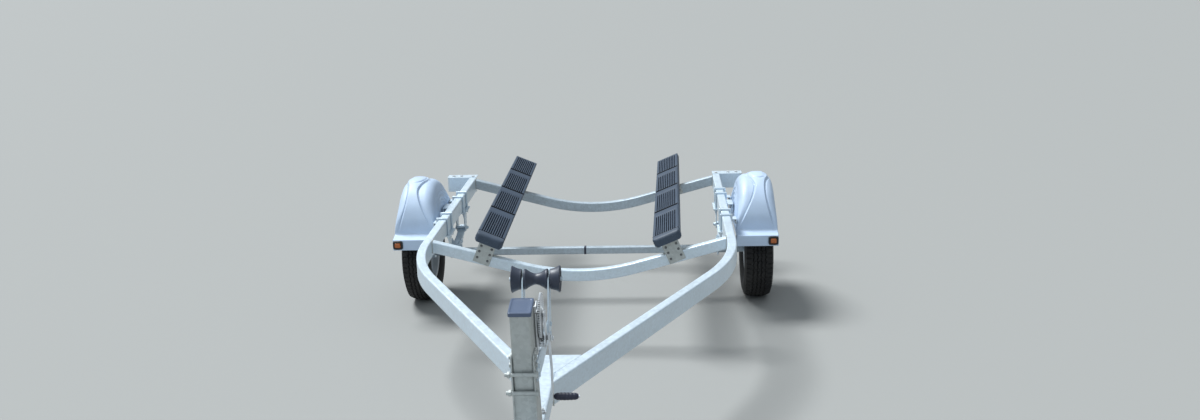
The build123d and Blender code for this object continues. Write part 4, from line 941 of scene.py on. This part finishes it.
def cover_screws(shape):
    """A sunk round screw head in the middle of each section's ribs: a dished outline turned round."""
    dome = [(-0.004, 0.0002), (-0.004, 0.0075), (-0.0016, 0.0075), (-0.0004, 0.0062), (-0.0008, 0.003),
            (-0.0022, 0.0002)]
    points, faces = turned(dome, 20, (0, 0, 0), axis=2)
    middles = [(0.0, (start + end - shape.band_length) / 2, 0)
               for start, end in zip(COVER_STARTS, COVER_ENDS)]
    return placed(points, faces, middles, [(0, 0, 1)] * len(middles))


def make_bunk_cover(shape, side):
    """All sections, the joints' strips of painted shadow, nose cap and screws of one bunk."""
    bands = [shape.band_length] * (len(COVER_STARTS) - 1) + [LAST_BAND]
    sections = joined([cover_section(shape, *places) for places in zip(COVER_STARTS, COVER_ENDS, bands)])
    shapes = {"bunk_cover": (*sections, "bunk_plastic"),
              "bunk_screws": (*cover_screws(shape), "black_plastic"),
              "bunk_joint_shadows": (*cover_joint_shadows(), "joint_shadow"),
              "bunk_nose": (*cover_nose(shape), "bunk_worn_and_highlit")}
    for name, (points, faces, finish) in shapes.items():
        piece = add_piece(f"{name}_{side}", *on_side(side, on_bunk(points), faces), finish, "frame",
                          "bunk_plastic", [f"bunk_pad_{side}"])
        if name == "bunk_nose":
            point_outwards(piece, Vector((SIDES[side] * BUNK_NOSE.x, BUNK_NOSE.y + 0.05, BUNK_NOSE.z - 0.05)))
            thickened(piece, NOSE_WALL)
        else:
            close_outwards(piece)


def close_outwards(piece):
    """Recalculate the normals of closed shapes so that they point outwards."""
    shape = bmesh.new()
    shape.from_mesh(piece.data)
    bmesh.ops.recalc_face_normals(shape, faces=shape.faces)
    shape.to_mesh(piece.data)
    shape.free()


# Rubber

def tyre_grid(shape):
    """Right tyre, closed. The carcass half width falls off from its widest radius by power laws, with two
    Gaussian rings on the wall. The tread's radius is lowered by zigzag grooves round the wheel, by notches
    across both shoulders and by narrow cuts between the grooves."""
    turns, tread_columns, tread_half = 480, 74, 0.070
    bead_radius, wide_radius, shoulder_radius, widest = 0.170, 0.240, 0.290, 0.089
    angle = np.linspace(0, 2 * np.pi, turns, endpoint=False)[:, None]
    side_radius = np.linspace(bead_radius, shoulder_radius, 18)
    below = 0.0315 * (np.clip(wide_radius - side_radius, 0, None) / 0.070) ** 2.2
    above = 0.011 * (np.clip(side_radius - wide_radius, 0, None) / 0.050) ** 2
    rings = ((0.262, 0.0012, 0.0025), (0.192, 0.0010, 0.003))
    half = widest - below - above
    half = half + sum(size * np.exp(-((side_radius - place) / width) ** 2) for place, size, width in rings)
    x = np.linspace(-tread_half, tread_half, tread_columns)
    crown = WHEEL_RADIUS - 0.012 * (np.abs(x) / tread_half) ** 4
    phase = shape.lugs * angle
    zigzag = 0.0035 * (2 / np.pi) * np.arcsin(np.sin(phase))
    groove_half, groove_wall, shoulder_from, ribs_to, soft = 0.0036, 0.0016, 0.047, 0.046, 0.003
    grooves = sum(smoothstep((groove_half - np.abs(x - middle - zigzag)) / groove_wall)
                  for middle in (-0.036, -0.012, 0.012, 0.036))
    notch = smoothstep((np.cos(phase + 3.0 * np.sign(x)) - 0.55) / 0.25)
    notch = notch * smoothstep((np.abs(x) - shoulder_from) / soft)
    sipe = smoothstep((np.cos(phase * 2) - 0.90) / 0.06) * smoothstep((ribs_to - np.abs(x)) / soft) * 0.5
    cut = np.clip(np.maximum(np.clip(grooves, 0, 1), np.maximum(notch * 0.85, sipe)), 0, 1)
    tread = crown - shape.tread_depth * cut
    ones = np.ones((turns, 1))
    liner_half, liner_lines = 0.052, 9
    liner_x = np.linspace(liner_half, -liner_half, liner_lines)
    liner = 0.215 + 0.06 * np.cos(np.linspace(-np.pi / 2, np.pi / 2, liner_lines)) ** 0.6
    along = np.concatenate([-half * ones, x * ones, half[::-1] * ones, liner_x * ones], axis=1)
    radius = np.concatenate([side_radius * ones, tread, side_radius[::-1] * ones, liner * ones], axis=1)
    points = np.stack([along, radius * np.cos(angle), radius * np.sin(angle)], -1).reshape(-1, 3)
    faces = facing_out(points, grid_faces(*along.shape, True, True))
    return points + AXLE, faces


def roller_profiles():
    """Closed outlines of the roller, (along X, radius): an hourglass spool whose radius grows with the 1.7th
    power of the distance from its middle, with a flat rim at each end, and a bell that flares outwards."""
    hole, half, waist, rise, curve_half = 0.00806, 0.044, 0.0205, 0.0175, 0.037
    x = np.linspace(-half, half, 61)
    spool = waist + rise * np.clip(np.abs(x) / curve_half, 0, 1) ** 1.7
    spool[[0, -1]] -= 0.002
    spool = [(-half, hole), *zip(x, spool), (half, hole)]
    near, far, throat, mouth, lip_radius = 0.0535, 0.0875, 0.0375, 0.0500, 0.0025
    along = np.linspace(0, 1, 22)
    flare = throat + (mouth - throat) * along ** 1.6
    lip = [(far + lip_radius * np.sin(turn), mouth - lip_radius + lip_radius * np.cos(turn))
           for turn in np.linspace(0, np.pi, 9)[1:]]
    dish = [(0.084, 0.030), (0.086, 0.016), (0.0895, 0.015), (0.0895, hole)]
    bell = [(0.053, hole), (0.053, 0.036), *zip(near + (far - near) * along, flare), *lip, *dish]
    return spool, bell


def roller_shape():
    """The spool and both bells on the roller's shaft."""
    centre = (ROLLER_LOW + ROLLER_HIGH) / 2
    spool, bell = roller_profiles()
    return joined([turned(spool, 72, centre), both_sides(*turned(bell, 72, centre))])


def grip_shape():
    """Crank grip: a barrel whose radius follows a low sine arch along its length, with rings of a small
    cosine and ends domed as a superellipse."""
    low, high, hole = GRIP_LOW[0], GRIP_HIGH[0], 0.0052
    thin, swell, ripple, rings = 0.0112, 0.0022, 0.0004, 7
    share = np.linspace(0, 1, 48)
    radius = thin + swell * np.sin(np.pi * share ** 0.8) + ripple * np.cos(2 * np.pi * rings * share)
    radius = radius * np.sqrt(np.clip(1 - np.abs(share * 2 - 1) ** 14, 0.03, 1))
    outer = list(zip(low + (high - low) * share, radius))
    middle = (GRIP_LOW + GRIP_HIGH) / 2
    loop = [(low, hole), *outer, (high, hole)]
    return turned(loop, 40, (0, middle[1], middle[2]))


def cap_shape():
    """Post cap: superellipse rings of power 16 in plan, rounded over into a raised rim round a shallow
    panel."""
    count = 96
    across, along = superellipse(count, 16)
    half_x, half_y = 0.0392, 0.0542
    edge, straight = 0.0030, 0.0107
    arc = np.linspace(0, np.pi / 2, 8)[1:]
    rings = [(0.0, 0.0), (0.0, straight)]
    rings += [(edge * (1 - math.cos(turn)), straight + edge * math.sin(turn)) for turn in arc]
    rings += [(0.0062, 0.0137), (0.0076, 0.0123), (0.0090, 0.0119)]
    middle = [(half_x * share, half_y * share, height)
              for share, height in ((0.5, 0.0121), (0.2, 0.0123), (0.01, 0.0123))]
    sizes = [(half_x * 0.02, half_y * 0.02, 0.0), *((half_x - inward, half_y - inward, height)
                                                    for inward, height in rings), *middle]
    points, faces = stacked([np.stack([across * x, along * y, np.full(count, z)], 1) for x, y, z in sizes])
    turn = np.array(Matrix.Rotation(POST_LEAN, 3, "X"))
    return (points + np.array([0, 0.050, 0])) @ turn.T + np.array(POST_FRONT_TOP), faces


def marker_shapes():
    """Right side marker: a dark rounded base and a domed lens, both superellipses of power 5 seen from
    the front, given by rings of (half width, half height, distance out)."""
    low, high = (np.array(corner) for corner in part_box("side_markers"))
    centre = np.array([high[0] - 0.030, high[1], (low[2] + high[2]) / 2])
    count = 72
    across, upward = superellipse(count, 5)

    def stack(rings):
        """Shape through the rings, at the marker's place."""
        points, faces = stacked([np.stack([across * x, np.full(count, -out), upward * z], 1)
                                 for x, z, out in rings])
        return points + centre, faces

    base = stack([(0.0005, 0.0003, 0.0), (0.030, 0.026, 0.0), (0.030, 0.026, 0.0055), (0.028, 0.024, 0.0085),
                  (0.0215, 0.0178, 0.0100), (0.0190, 0.0155, 0.0100), (0.0186, 0.0152, 0.0070),
                  (0.0005, 0.0003, 0.0070)])
    wide, tall, rim = 0.0178, 0.0146, 0.0098
    dome = [(wide * math.cos(turn) ** 0.5, tall * math.cos(turn) ** 0.5, rim + 0.0058 * math.sin(turn))
            for turn in np.linspace(0, np.pi / 2, 9)[1:-1]]
    return base, stack([(0.0005, 0.0003, 0.0068), (wide, tall, 0.0068), (wide, tall, rim), *dome,
                        (0.0004, 0.0003, 0.0156)])


# Fasteners and welds

# Bolt heads: width across the flats, height, washer's radius and length of thread that shows
PLATE_BOLT, BRACKET_BOLT = (0.0100, 0.0050, 0.0070), (0.0165, 0.0075, 0.0125)
POST_BOLT = (0.019, 0.011, 0.015, 0.008)


def bunk_plate_point(cross_y, across, up):
    """A point on the front face of a right bunk plate: across and up along the plate, from the bunk's top."""
    plate_y = cross_y - CROSS_HALF - PLATE_THICK
    share = (plate_y - BUNK_NOSE.y) / BUNK_LENGTH
    middle = BUNK_NOSE.x + share * (BUNK_TAIL.x - BUNK_NOSE.x)
    x = across * math.cos(BUNK_TILT) - up * math.sin(BUNK_TILT)
    z = across * math.sin(BUNK_TILT) + up * math.cos(BUNK_TILT)
    return (middle + x, plate_y, BUNK_NOSE.z + z)


def fastener_places():
    """(place, direction) of each bolt head that the frame doesn't already have: on the bunk plates, on the
    fender brackets and light boxes, and on the tongue."""
    plate_columns, plate_rows = (-0.031, 0.031), (-0.078, -0.112, -0.150)
    plates = [(bunk_plate_point(cross_y, x, z), (0, -1, 0))
              for cross_y in CROSS_YS for x in plate_columns for z in plate_rows]
    rail_out = RAIL_HIGH[0]
    # Middle of each fender bracket from the axle, height on the rail and height inside the fender
    spots = ((-0.333, 0.562, 0.571), (0.020, 0.582, 0.585), (0.240, 0.562, 0.571))
    spread, bracket_thick, box_thick = 0.018, 0.004, 0.003
    brackets = [((rail_out + bracket_thick, AXLE[1] + y + side * spread, z), (1, 0, 0))
                for y, z, _ in spots for side in (-1, 1)]
    inside = [((FENDER_LOW[0] - bracket_thick - 0.0002, AXLE[1] + y + side * spread, z), (-1, 0, 0))
              for y, _, z in spots for side in (-1, 1)]
    # Out from the rail and back from the light box's middle
    corners = ((-0.025, 0.030), (0.060, 0.046), (0.115, 0.046))
    boxes = [((rail_out + out, LIGHT_BOX_Y + back, RAIL_TOP + box_thick), (0, 0, 1)) for out, back in corners]
    post_bolt_x, post_bolt_y = 0.024, AXLE[1] - 3.250
    tongue = [((x, post_bolt_y, RAIL_TOP), (0, 0, 1)) for x in (post_bolt_x, -post_bolt_x)]

    def both(places):
        """The places and their mirror images."""
        return places + [((-x, y, z), (-way[0], way[1], way[2])) for (x, y, z), way in places]

    return both(plates), both(brackets + inside + boxes), tongue


def weld_paths():
    """Corner points of each weld bead on the right: round the crossmembers' ends and up the rail's front
    end."""
    face = RAIL_HIGH[0] - RAIL_WIDTH
    half, top, bottom = 0.0262, 0.6155, 0.5500
    turns = ((-half, bottom), (-half, top), (half, top), (half, bottom), (-half, bottom))
    paths = [[(face, y + way, z) for way, z in turns] for y in CROSS_YS]
    half_width = RAIL_WIDTH / 2 / math.cos(V_ANGLE)
    outer_y = RAIL_CORNER_Y - (RAIL_MIDDLE_X + half_width - TONGUE_HALF) / math.tan(V_ANGLE)
    return paths + [[(TONGUE_HALF, outer_y, RAIL_BOTTOM), (TONGUE_HALF, outer_y, RAIL_TOP - 0.001)]]


def gusset_seam_shape():
    """Smooth fill along both seams between the gusset plate and the rails, flush with their tops."""
    inner_x = RAIL_MIDDLE_X - RAIL_WIDTH / 2 / math.cos(V_ANGLE)
    radius = 0.0045
    ends = [(inner_x - way * math.tan(V_ANGLE), RAIL_CORNER_Y - way, RAIL_TOP - radius + 0.0003)
            for way in (GUSSET_LENGTH, (inner_x - TONGUE_HALF) / math.tan(V_ANGLE))]
    return both_sides(*swept(resampled(ends, 0.004), radius, 12))


def axle_band_shape():
    """Thin dark band round the square axle tube, near its middle: a ring between two superellipses of
    power 16."""
    count, power = 64, 16
    left, right, inner_half, outer_half = -0.0275, -0.0145, 0.0221, 0.0233
    angle = np.linspace(0, 2 * np.pi, count, endpoint=False)
    corner = (np.abs(np.cos(angle)) ** power + np.abs(np.sin(angle)) ** power) ** (-1 / power)
    rings = [(left, inner_half), (left, outer_half), (right, outer_half), (right, inner_half)]
    sheets = [np.stack([np.full(count, x), half * corner * np.cos(angle), half * corner * np.sin(angle)], 1)
              for x, half in rings]
    points = np.concatenate(sheets)
    faces = facing_out(points, grid_faces(len(rings), count, True, True))
    return points + np.array([0, AXLE[1], AXLE[2]]), faces


def weld_shape():
    """All weld beads, rippled every few millimetres and sunk half into the seams."""
    radius, ripple, pitch = 0.0030, 0.35, 0.0052
    beads = [swept(resampled(path, 0.0013), radius, 8, ripple, pitch) for path in weld_paths()]
    return both_sides(*joined(beads))


# Stage

def soft_sun(name, place, aim, spread, strength, colour):
    """Even light from one side of the sky, whose spread in degrees softens the shadows."""
    light = bpy.data.lights.new(name, "SUN")
    light.angle = math.radians(spread)
    light.energy = strength
    light.color = colour
    lamp = bpy.data.objects.new(name, light)
    lamp.location = place
    lamp.rotation_euler = (Vector(aim) - Vector(place)).to_track_quat("-Z", "Y").to_euler()
    bpy.context.scene.collection.objects.link(lamp)


def set_camera():
    """Camera at the photograph's viewing angle. Its columns are right, up and back."""
    place = (0.456, -5.547, 2.320)
    yaw, pitch, roll = math.radians(3.037), math.radians(13.866), math.radians(1.547)
    forward = Vector((-math.sin(yaw) * math.cos(pitch), math.cos(yaw) * math.cos(pitch), -math.sin(pitch)))
    level = Vector((math.cos(yaw), math.sin(yaw), 0))
    down = forward.cross(level)
    right = math.cos(roll) * level + math.sin(roll) * down
    below = -math.sin(roll) * level + math.cos(roll) * down
    data = bpy.data.cameras.new("camera")
    data.sensor_fit = "HORIZONTAL"
    data.sensor_width = 36.0
    data.lens = 34.5
    data.clip_end = 200.0
    camera = bpy.data.objects.new("camera", data)
    turn = Matrix((right, -below, -forward)).transposed().to_4x4()
    camera.matrix_world = Matrix.Translation(place) @ turn
    bpy.context.scene.collection.objects.link(camera)
    bpy.context.scene.camera = camera


def build_stage(look):
    """Pale floor, an even pale sky, a soft key light and a weak fill from the front."""
    mesh = bpy.data.meshes.new("floor")
    reach = 60.0
    corners = [(-reach, -reach, 0), (reach, -reach, 0), (reach, reach, 0), (-reach, reach, 0)]
    mesh.from_pydata(corners, [], [(0, 1, 2, 3)])
    floor = bpy.data.objects.new("floor", mesh)
    bpy.context.scene.collection.objects.link(floor)
    fresh_tree("floor_paint")
    principled("floor_paint", 0.8, rgba(look.floor_colour), 0.0, Specular_IOR_Level=0.2)
    mesh.materials.append(bpy.data.materials["floor_paint"])
    bpy.context.scene.view_settings.view_transform = "Standard"
    world = bpy.data.worlds.new("studio")
    bpy.context.scene.world = world
    world.use_nodes = True
    tree = world.node_tree
    sky = tree.nodes["Background"]
    ray = shader_node(tree, "ShaderNodeTexCoord").outputs["Generated"]
    share = ranged(tree, shader_node(tree, "ShaderNodeSeparateXYZ", {0: ray}).outputs[2], 0.05, 0.85)
    link_or_set(tree, sky.inputs["Color"], blended(tree, share, (0.30, 0.33, 0.36, 1), (0.84, 0.93, 1.0, 1)))
    sky.inputs["Strength"].default_value = look.sky_strength
    middle = (0.0, 0.2, 0.5)
    soft_sun("key", (-3.0, 2.6, 6.5), middle, 24, look.key_strength, (0.94, 0.98, 1.0))
    soft_sun("fill", (-2.0, -7.0, 3.6), middle, 50, look.fill_strength, (0.72, 0.87, 1.0))


# What a user can change

class FinishSettings(bpy.types.PropertyGroup):
    """Colours and crystal size of the finishes."""
    zinc_colour: bpy.props.FloatVectorProperty(
        name="Zinc", description="Colour of the galvanised frame", subtype="COLOR", size=3, min=0, max=1,
        default=(0.66, 0.76, 0.84))
    dull_zinc_colour: bpy.props.FloatVectorProperty(
        name="Dull zinc", description="Colour of the winch post and the bolted plates", subtype="COLOR",
        size=3, min=0, max=1, default=(0.46, 0.485, 0.475))
    plate_colour: bpy.props.FloatVectorProperty(
        name="Bright plate", description="Colour of the winch and the jack", subtype="COLOR", size=3, min=0,
        max=1, default=(0.80, 0.83, 0.86))
    # The fenders' pale plastic, tinted blue as a painted sky reflection
    fender_colour: bpy.props.FloatVectorProperty(
        name="Fenders", description="Colour of the moulded fenders", subtype="COLOR", size=3, min=0, max=1,
        default=(0.51, 0.625, 0.79))
    bunk_colour: bpy.props.FloatVectorProperty(
        name="Bunk covers", description="Colour of the ribbed bunk covers", subtype="COLOR", size=3, min=0,
        max=1, default=(0.048, 0.070, 0.106))
    # The cap's dark plastic, tinted blue as a painted sky reflection
    cap_colour: bpy.props.FloatVectorProperty(
        name="Post cap", description="Colour of the post's cap", subtype="COLOR", size=3, min=0, max=1,
        default=(0.082, 0.115, 0.190))
    spangle_size: bpy.props.FloatProperty(
        name="Crystal size", description="Mean width of a zinc crystal", unit="LENGTH", min=0.002, max=0.05,
        default=0.011)


class FenderSettings(bpy.types.PropertyGroup):
    """Shape of the fenders."""
    edge_radius: bpy.props.FloatProperty(
        name="Edge radius", description="Radius of the ledge's and the lip's edges", unit="LENGTH",
        min=0.002, max=0.02, default=0.006)
    shoulder_radius: bpy.props.FloatProperty(
        name="Shoulder radius", description="Radius between the top and the sides over the wheel",
        unit="LENGTH", min=0.02, max=0.1, default=0.060)
    panel_rise: bpy.props.FloatProperty(
        name="Panel rise", description="Height of the raised panel at the crown", unit="LENGTH", min=0,
        max=0.03, default=0.016)
    crown_depth: bpy.props.FloatProperty(
        name="Crown depth", description="Depth of the line round the oval on the crown", unit="LENGTH",
        min=0, max=0.006, default=0.0038)
    crease_depth: bpy.props.FloatProperty(
        name="Crease depth", description="Depth of the creases along the raised panel", unit="LENGTH",
        min=0, max=0.006, default=0.0032)
    crown_length: bpy.props.FloatProperty(
        name="Crown length", description="Half length of the oval over the wheel", unit="LENGTH", min=0.02,
        max=0.2, default=0.085)


class BunkSettings(bpy.types.PropertyGroup):
    """Shape of the ribbed bunk covers."""
    grooves: bpy.props.IntProperty(
        name="Grooves", description="Lengthwise grooves in each section", min=2, max=20, default=10)
    groove_pitch: bpy.props.FloatProperty(
        name="Groove pitch", description="Distance from one groove to the next", unit="LENGTH", min=0.006,
        max=0.03, default=0.013)
    groove_depth: bpy.props.FloatProperty(
        name="Groove depth", description="Depth of a groove", unit="LENGTH", min=0.0005, max=0.008,
        default=0.0080)
    nose_corner: bpy.props.FloatProperty(
        name="Nose corner", description="Radius of the nose cap's front corners in plan", unit="LENGTH",
        min=0.005, max=0.024, default=0.022)
    band_length: bpy.props.FloatProperty(
        name="Plain band", description="Length of the plain band at a section's far end", unit="LENGTH",
        min=0.02, max=0.2, default=0.118)


class TyreSettings(bpy.types.PropertyGroup):
    """Tread of the tyres."""
    lugs: bpy.props.IntProperty(
        name="Lugs", description="Zigzags and shoulder notches round the tyre", min=20, max=90, default=56)
    tread_depth: bpy.props.FloatProperty(
        name="Tread depth", description="Depth of the grooves", unit="LENGTH", min=0.001, max=0.012,
        default=0.007)


class StageSettings(bpy.types.PropertyGroup):
    """Floor and lights."""
    floor_colour: bpy.props.FloatVectorProperty(
        name="Floor", description="Colour of the floor", subtype="COLOR", size=3, min=0, max=1,
        default=(0.33, 0.33, 0.32))
    sky_strength: bpy.props.FloatProperty(
        name="Sky", description="Strength of the even light from all round", min=0, max=3, default=0.62)
    key_strength: bpy.props.FloatProperty(
        name="Key light", description="Strength of the main soft light", min=0, max=10, default=4.1)
    fill_strength: bpy.props.FloatProperty(
        name="Fill light", description="Strength of the weak light from the front", min=0, max=10,
        default=0.42)


class TRAILER_OT_finishes(bpy.types.Operator):
    """Make the finishes and give each node of the frame its own"""
    bl_idname = "trailer.finishes"
    bl_label = "Finishes"

    def execute(self, context):
        build_finishes(context.scene.trailer_finish)
        dress_nodes()
        return {"FINISHED"}


class TRAILER_OT_fenders(bpy.types.Operator):
    """Mould both fenders over the wheels"""
    bl_idname = "trailer.fenders"
    bl_label = "Fenders"

    def execute(self, context):
        shell = fender_shell(context.scene.trailer_fender)
        for side in SIDES:
            make_fender(shell, side)
        return {"FINISHED"}


class TRAILER_OT_bunks(bpy.types.Operator):
    """Lay the ribbed covers, their nose caps and screws on both bunks"""
    bl_idname = "trailer.bunks"
    bl_label = "Bunk covers"

    def execute(self, context):
        for side in SIDES:
            make_bunk_cover(context.scene.trailer_bunk, side)
        return {"FINISHED"}


class TRAILER_OT_tyres(bpy.types.Operator):
    """Mould both tyres with their tread"""
    bl_idname = "trailer.tyres"
    bl_label = "Tyres"

    def execute(self, context):
        tyre = tyre_grid(context.scene.trailer_tyre)
        for side in SIDES:
            add_piece(f"tyre_tread_{side}", *on_side(side, *tyre), "tyre_rubber", f"wheel_{side}",
                      "tyre_rubber", [f"tyre_{side}"], crease_angle=30)
        return {"FINISHED"}


class TRAILER_OT_rubber_and_caps(bpy.types.Operator):
    """Make the bow roller, the post's cap and the crank's grip"""
    bl_idname = "trailer.rubber_and_caps"
    bl_label = "Roller, cap and grip"

    def execute(self, context):
        rubber = "roller_rubber"
        add_piece("roller_moulding", *roller_shape(), rubber, "roller", rubber, ["bow_roller"])
        add_piece("post_cap_moulding", *cap_shape(), "cap_plastic", "frame", "black_plastic", ["post_cap"])
        add_piece("grip_moulding", *grip_shape(), "black_plastic", "crank", "black_plastic", ["crank_grip"])
        return {"FINISHED"}


class TRAILER_OT_markers(bpy.types.Operator):
    """Make both side markers with their lenses"""
    bl_idname = "trailer.markers"
    bl_label = "Side markers"

    def execute(self, context):
        base, lens_dome = marker_shapes()
        both = ["side_markers"]
        add_piece("marker_bases", *both_sides(*base), "marker_black", "frame", "black_plastic", both)
        add_piece("marker_lenses", *both_sides(*lens_dome), "amber_lens", "frame", "amber_lens", both)
        return {"FINISHED"}


class TRAILER_OT_fasteners(bpy.types.Operator):
    """Set bolt heads on the plates, brackets, light boxes and tongue"""
    bl_idname = "trailer.fasteners"
    bl_label = "Fasteners"

    def execute(self, context):
        plates, paired, tongue = fastener_places()
        dull = placed(*hexagon_head(*PLATE_BOLT), *zip(*plates))
        bright = joined([placed(*hexagon_head(*BRACKET_BOLT), *zip(*paired)),
                         placed(*hexagon_head(*POST_BOLT), *zip(*tongue))])
        add_piece("bolt_heads", *bright, "zinc_plated", "frame", "zinc_plated")
        add_piece("plate_bolts", *dull, "dark_bolts", "frame", "zinc_plated")
        return {"FINISHED"}


class TRAILER_OT_welds(bpy.types.Operator):
    """Run weld beads along the frame's seams and put the dark band round the axle"""
    bl_idname = "trailer.welds"
    bl_label = "Welds and axle band"

    def execute(self, context):
        add_piece("weld_beads", *weld_shape(), "weld_zinc", "frame", "galvanised")
        add_piece("gusset_seams", *gusset_seam_shape(), "galvanised", "frame", "galvanised")
        add_piece("axle_band", *axle_band_shape(), "black_plastic", "frame", "black_plastic")
        return {"FINISHED"}


class TRAILER_OT_stage(bpy.types.Operator):
    """Set the floor, the lights and the camera"""
    bl_idname = "trailer.stage"
    bl_label = "Stage and camera"

    def execute(self, context):
        build_stage(context.scene.trailer_stage)
        set_camera()
        return {"FINISHED"}


class TRAILER_PT_panel(bpy.types.Panel):
    """Lists the trailer's pieces in the order in which they are made."""
    bl_label = "Boat trailer"
    bl_idname = "TRAILER_PT_panel"
    bl_space_type = "VIEW_3D"
    bl_region_type = "UI"
    bl_category = "Trailer"

    def draw(self, context):
        for group in SETTINGS:
            box = self.layout.box()
            settings = getattr(context.scene, group)
            for name in settings.bl_rna.properties.keys():
                if name not in ("rna_type", "name"):
                    box.prop(settings, name)
        for operator in OPERATORS:
            self.layout.operator(operator.bl_idname)


SETTINGS = {"trailer_finish": FinishSettings, "trailer_fender": FenderSettings, "trailer_bunk": BunkSettings,
            "trailer_tyre": TyreSettings, "trailer_stage": StageSettings}
OPERATORS = (TRAILER_OT_finishes, TRAILER_OT_fenders, TRAILER_OT_bunks, TRAILER_OT_tyres,
             TRAILER_OT_rubber_and_caps, TRAILER_OT_markers, TRAILER_OT_fasteners, TRAILER_OT_welds,
             TRAILER_OT_stage)


def register():
    """Register the classes and hang the settings on the scene."""
    for group in (*SETTINGS.values(), *OPERATORS, TRAILER_PT_panel):
        bpy.utils.register_class(group)
    for name, group in SETTINGS.items():
        setattr(bpy.types.Scene, name, bpy.props.PointerProperty(type=group))


def unregister():
    """Take the settings off the scene and unregister the classes."""
    for name in SETTINGS:
        delattr(bpy.types.Scene, name)
    for group in reversed((*SETTINGS.values(), *OPERATORS, TRAILER_PT_panel)):
        bpy.utils.unregister_class(group)


def main():
    """Make every piece in order."""
    register()
    for operator in OPERATORS:
        family, name = operator.bl_idname.split(".")
        getattr(getattr(bpy.ops, family), name)()


if __name__ == "__main__":
    main()
